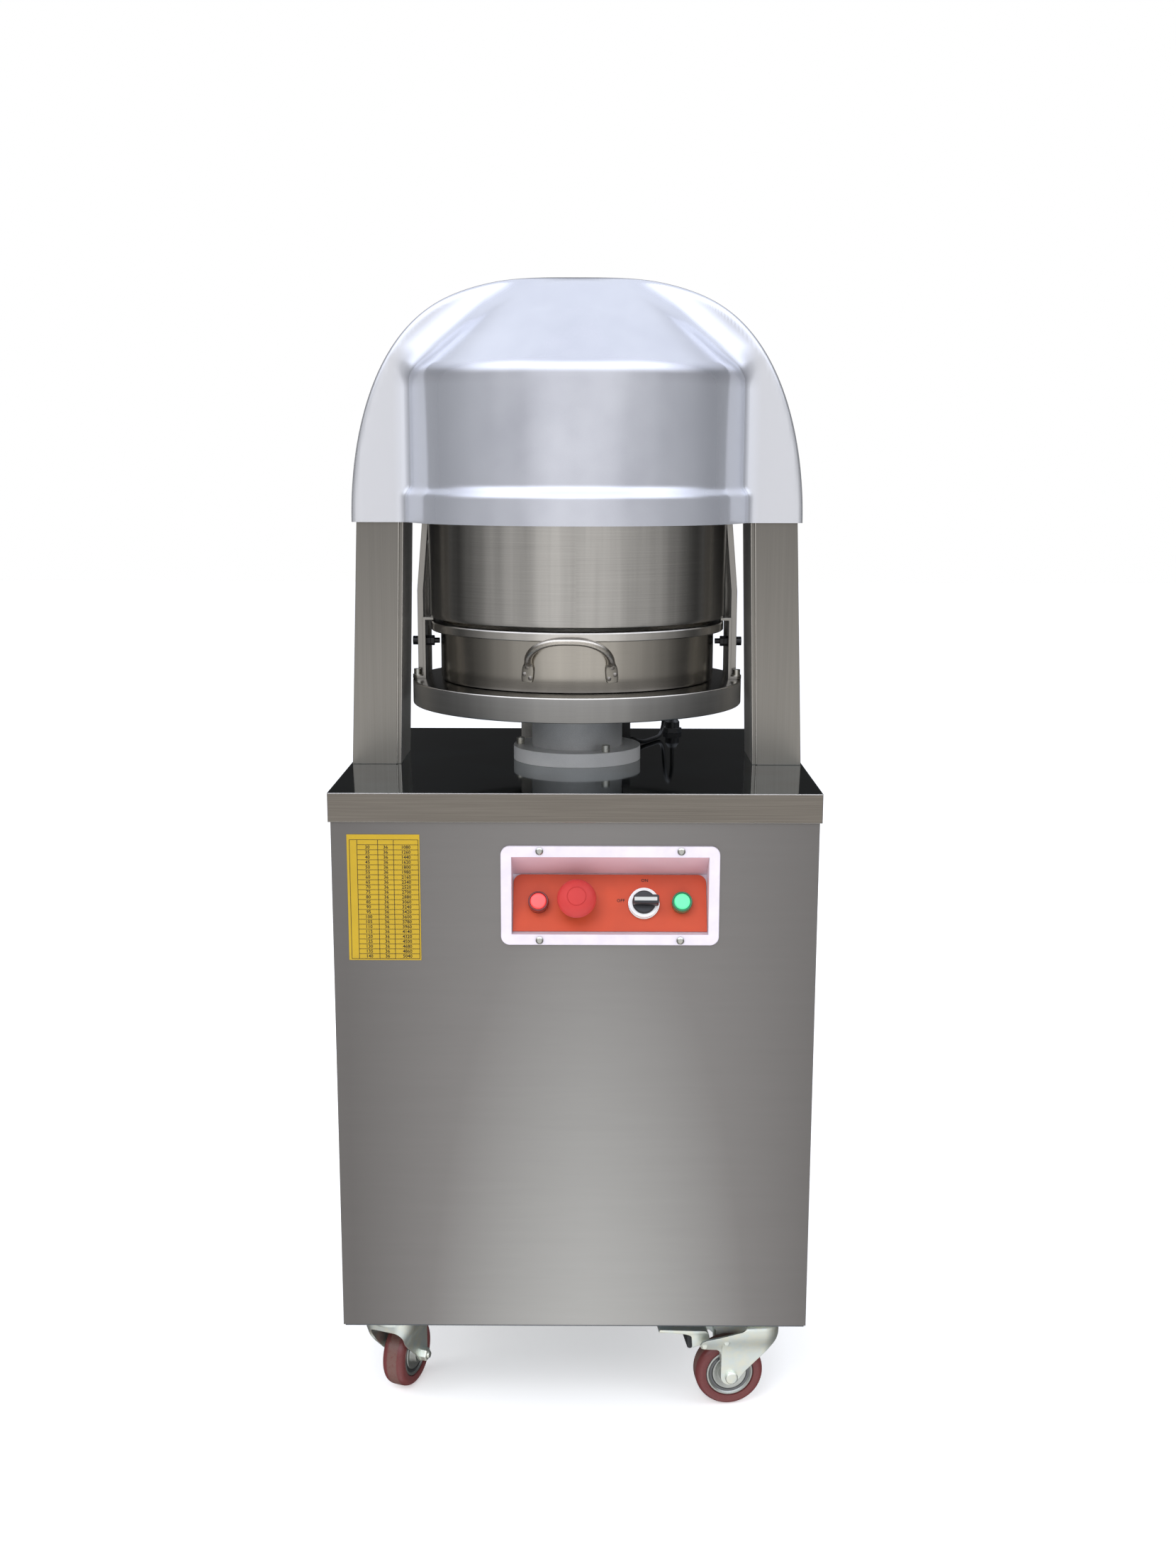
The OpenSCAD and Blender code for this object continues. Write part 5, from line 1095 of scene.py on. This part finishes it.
class DIVIDER_OT_casters(bpy.types.Operator):
    """Press the forks, turn the wheels and fit the brake pedals"""

    bl_idname = "divider.casters"
    bl_label = "Casters"

    def execute(self, context):
        for name, (x, y, turn) in CASTERS.items():
            place = turned(x, y, 0, rz=turn)
            self.fork(name, place, name in BRAKED)
            self.wheel(name, place)
            if name in BRAKED:
                self.pedal(name, place)
        return {"FINISHED"}

    def fork(self, name, place, braked):
        """One bent sheet, seen from the side between the outlines low and high, with its ball race."""
        crown, leg_y, bend_r, front, sheet = 100, 30.0, 18, 2, 2.5
        low = [(-20, 87), (-18.6, 84.5), (-15, 78.5), (-6, 66.5), (4, 57), (18, 43.5)]
        low += [(34.5 + 10 * cos(t), 38.5 + 10 * sin(t)) for t in np.radians(np.arange(215, 361, 10))]
        if braked:
            low += [(44.6, 64), (46, 69), (50, 72), (63, 73.6), (67, 75), (69, 79)]
            high = [(-20, crown), (17, crown), (20, 97), (23, 95), (51, 89), (63, 86.6), (67, 84.5),
                    (69, 80.5)]
        else:
            high = [(-20, crown), (15, crown), (20, 98.5), (27, 95), (33, 90), (39, 82.5), (42, 76), (44, 66),
                    (44.5, 60)]
        spots = {round(p[0], 2) for p in low + high if p[0] > -front} | set(np.arange(-2.0, low[-1][0], 2.5))
        # Half the sheet's path in plan, as places with the way that they face: a leg, then the front's bend.
        leg = [((s, leg_y), (0.0, 1.0)) for s in sorted(spots, reverse=True)]
        bend = [((-front - bend_r * sin(t), leg_y - bend_r + bend_r * cos(t)), (-sin(t), cos(t)))
                for t in np.radians(np.arange(7.5, 90.1, 7.5))]
        half = leg + bend
        bm = bmesh.new()
        rows = []
        for (s, t), (u, v) in half + [((s, -t), (u, -v)) for (s, t), (u, v) in reversed(half)]:
            foot, head = (float(np.interp(s, *zip(*outline))) for outline in (low, high))
            column = []
            for share in (0, 0.12, 0.25, 0.4, 0.55, 0.7, 0.8, 0.87, 0.92, 0.96, 0.985, 1):
                z = foot + (head - foot) * share
                lean = min(1.0, max(0.0, (z - 64) / 28))
                wide = (20 + 10 * lean * lean * (3 - 2 * lean)) / 30
                # The sheet turns in over the top with a radius of 5.
                inwards = 5 - sqrt(max(0.0, 25 - max(0.0, z - 95) ** 2))
                at = Vector((s - u * inwards, (t - v * inwards) * wide, z))
                column.append(bm.verts.new(place @ (at * MM)))
            rows.append(column)
        faces = [bm.faces.new((a[k], a[k + 1], b[k + 1], b[k]))
                 for a, b in zip(rows, rows[1:]) for k in range(len(a) - 1)]
        bmesh.ops.recalc_face_normals(bm, faces=faces)
        bmesh.ops.solidify(bm, geom=faces, thickness=sheet * MM)
        top = [(17, 25)] + [(s - u * 5, t - v * 5) for (s, t), (u, v) in bend]
        plate(bm, top + [(s, -t) for s, t in reversed(top)], crown - sheet, crown, place)
        lathe(bm, rounded([(0, 94), (24, 94), (24, 98), (20, 100.8), (0, 100.8)], 1.5, 3), place, 72)
        axle = place @ turned(*AXLE, rx=-90)
        lathe(bm, rounded([(0, -29), (3.6, -29), (3.9, -27), (3.9, -20)], 0.5, 2), axle, 32)
        lathe(bm, rounded([(0, -27), (6, -27), (7.4, -25.6), (7.4, -20)], 0.6, 2), axle, 6)
        lathe(bm, rounded([(0, 20), (7, 20), (7, 23), (5.6, 24), (0, 24)], 0.8, 3), axle, 40)
        for x, z in ((64, 79), (40, 82)) if braked else ():
            for side in (-1, 1):
                rivet = place @ turned(x, side * (z / 28 * 10 - 2.9), z, rx=-90 * side)
                lathe(bm, rounded([(3.4, 0), (3.4, 0.8), (2.6, 1.4), (0, 1.4)], 0.4, 2), rivet, 28)
        piece("fork_pressed_" + name, bm, "swivel_" + name, "caster_zinc_pressing",
              "fork_" + name)

    def wheel(self, name, place):
        """The tyre with its rounded tread, and the hub's rings on both sides."""
        at = place @ turned(*AXLE, rx=-90)
        bm = bmesh.new()
        right = [(37.5 - 6 * (1 - cos(t)), 5 + 8 * sin(t)) for t in np.radians(np.arange(0, 91, 11.25))]
        right += [(28.5, 12.6), (26.8, 12.2), (26.2, 11.0)]
        ring(bm, [(r, -h) for r, h in reversed(right)] + right, at)
        hub = [(26.3, 9.6), (25.4, 11.4), (23.8, 11.6), (22.6, 10.0), (21.0, 9.2), (19.5, 9.2), (18.6, 10.6),
               (17.2, 10.8), (14.8, 9.6), (12.2, 9.4), (11.2, 12.4), (10.6, 16.3), (4.2, 16.4), (4.2, 9.0),
               (26.3, 9.0)]
        race = [(22.4, 9.9), (22.4, 10.1), (19.6, 10.1), (19.6, 9.9)]
        for side in (-1, 1):
            for finish, profile in enumerate((hub, race), 1):
                ring(bm, [(r, side * h) for r, h in profile], at, 72, finish)
        mesh = mesh_of("wheel_cast_" + name, bm)
        back = at.inverted()
        levels = []
        for v in mesh.vertices:
            x, y, z = (back @ v.co) / MM
            levels.append(max(0.0, 1 - max(0.0, abs(z) - 3.0) / 3.0) if hypot(x, y) > 36 else 0.0)
        mesh.attributes.new("worn", "FLOAT", "POINT").data.foreach_set("value", levels)
        piece("wheel_cast_" + name, mesh, "wheel_" + name,
              ["tyre_burgundy_polyurethane", "hub_grey_casting", "bearing_dark_steel"],
              "wheel_" + name, 40)

    def pedal(self, name, place):
        """The brake's zinc lever with its black toe."""
        upright = place @ turned(0, 0, 0, rx=90)
        bm = bmesh.new()
        lever = smooth_outline([(57, 76), (57, 86), (60, 91), (112, 95.8), (113, 92.5), (84, 88.6), (77, 86),
                                (76, 71.8), (70, 74), (62, 74)], [2, 2, 2, 1, 1, 2, 2, 2, 2, 2])
        plate(bm, lever, -15.5, 15.5, upright, 0.8)
        toe = smooth_outline([(76.2, 86), (76.2, 72.2), (79, 71.8), (81.5, 73), (82, 87)], 1.2)
        plate(bm, toe, -15.2, 15.2, upright, 0.8, 1)
        piece("pedal_pressed_" + name, bm, "brake_" + name, ["caster_zinc_pressing", "plastic_black_moulded"],
              "pedal_" + name)


# ---- add-on


STEPS = ("stage", "cable", "hood", "cabinet", "seams", "lift", "springs", "pan", "controls", "chart",
         "casters")


class DIVIDER_PT_panel(bpy.types.Panel):
    """Lists the steps that build the looks"""

    bl_label = "Dough divider"
    bl_idname = "DIVIDER_PT_panel"
    bl_space_type = "VIEW_3D"
    bl_region_type = "UI"
    bl_category = "Divider"

    def draw(self, context):
        for step in STEPS:
            self.layout.operator("divider." + step)
        for group in (context.scene.divider_stage, context.scene.divider_finish):
            for key in group.__annotations__:
                self.layout.prop(group, key)


CLASSES = (DIVIDER_PG_stage, DIVIDER_PG_finish, DIVIDER_OT_stage, DIVIDER_OT_cable, DIVIDER_OT_hood,
           DIVIDER_OT_cabinet, DIVIDER_OT_seams, DIVIDER_OT_lift, DIVIDER_OT_springs, DIVIDER_OT_pan,
           DIVIDER_OT_controls, DIVIDER_OT_chart, DIVIDER_OT_casters, DIVIDER_PT_panel)


def register():
    for each in CLASSES:
        bpy.utils.register_class(each)
    bpy.types.Scene.divider_stage = PointerProperty(type=DIVIDER_PG_stage)
    bpy.types.Scene.divider_finish = PointerProperty(type=DIVIDER_PG_finish)


def unregister():
    del bpy.types.Scene.divider_finish
    del bpy.types.Scene.divider_stage
    for each in reversed(CLASSES):
        bpy.utils.unregister_class(each)


def main():
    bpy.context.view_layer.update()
    register()
    for step in STEPS:
        getattr(bpy.ops.divider, step)()


if __name__ == "__main__":
    main()
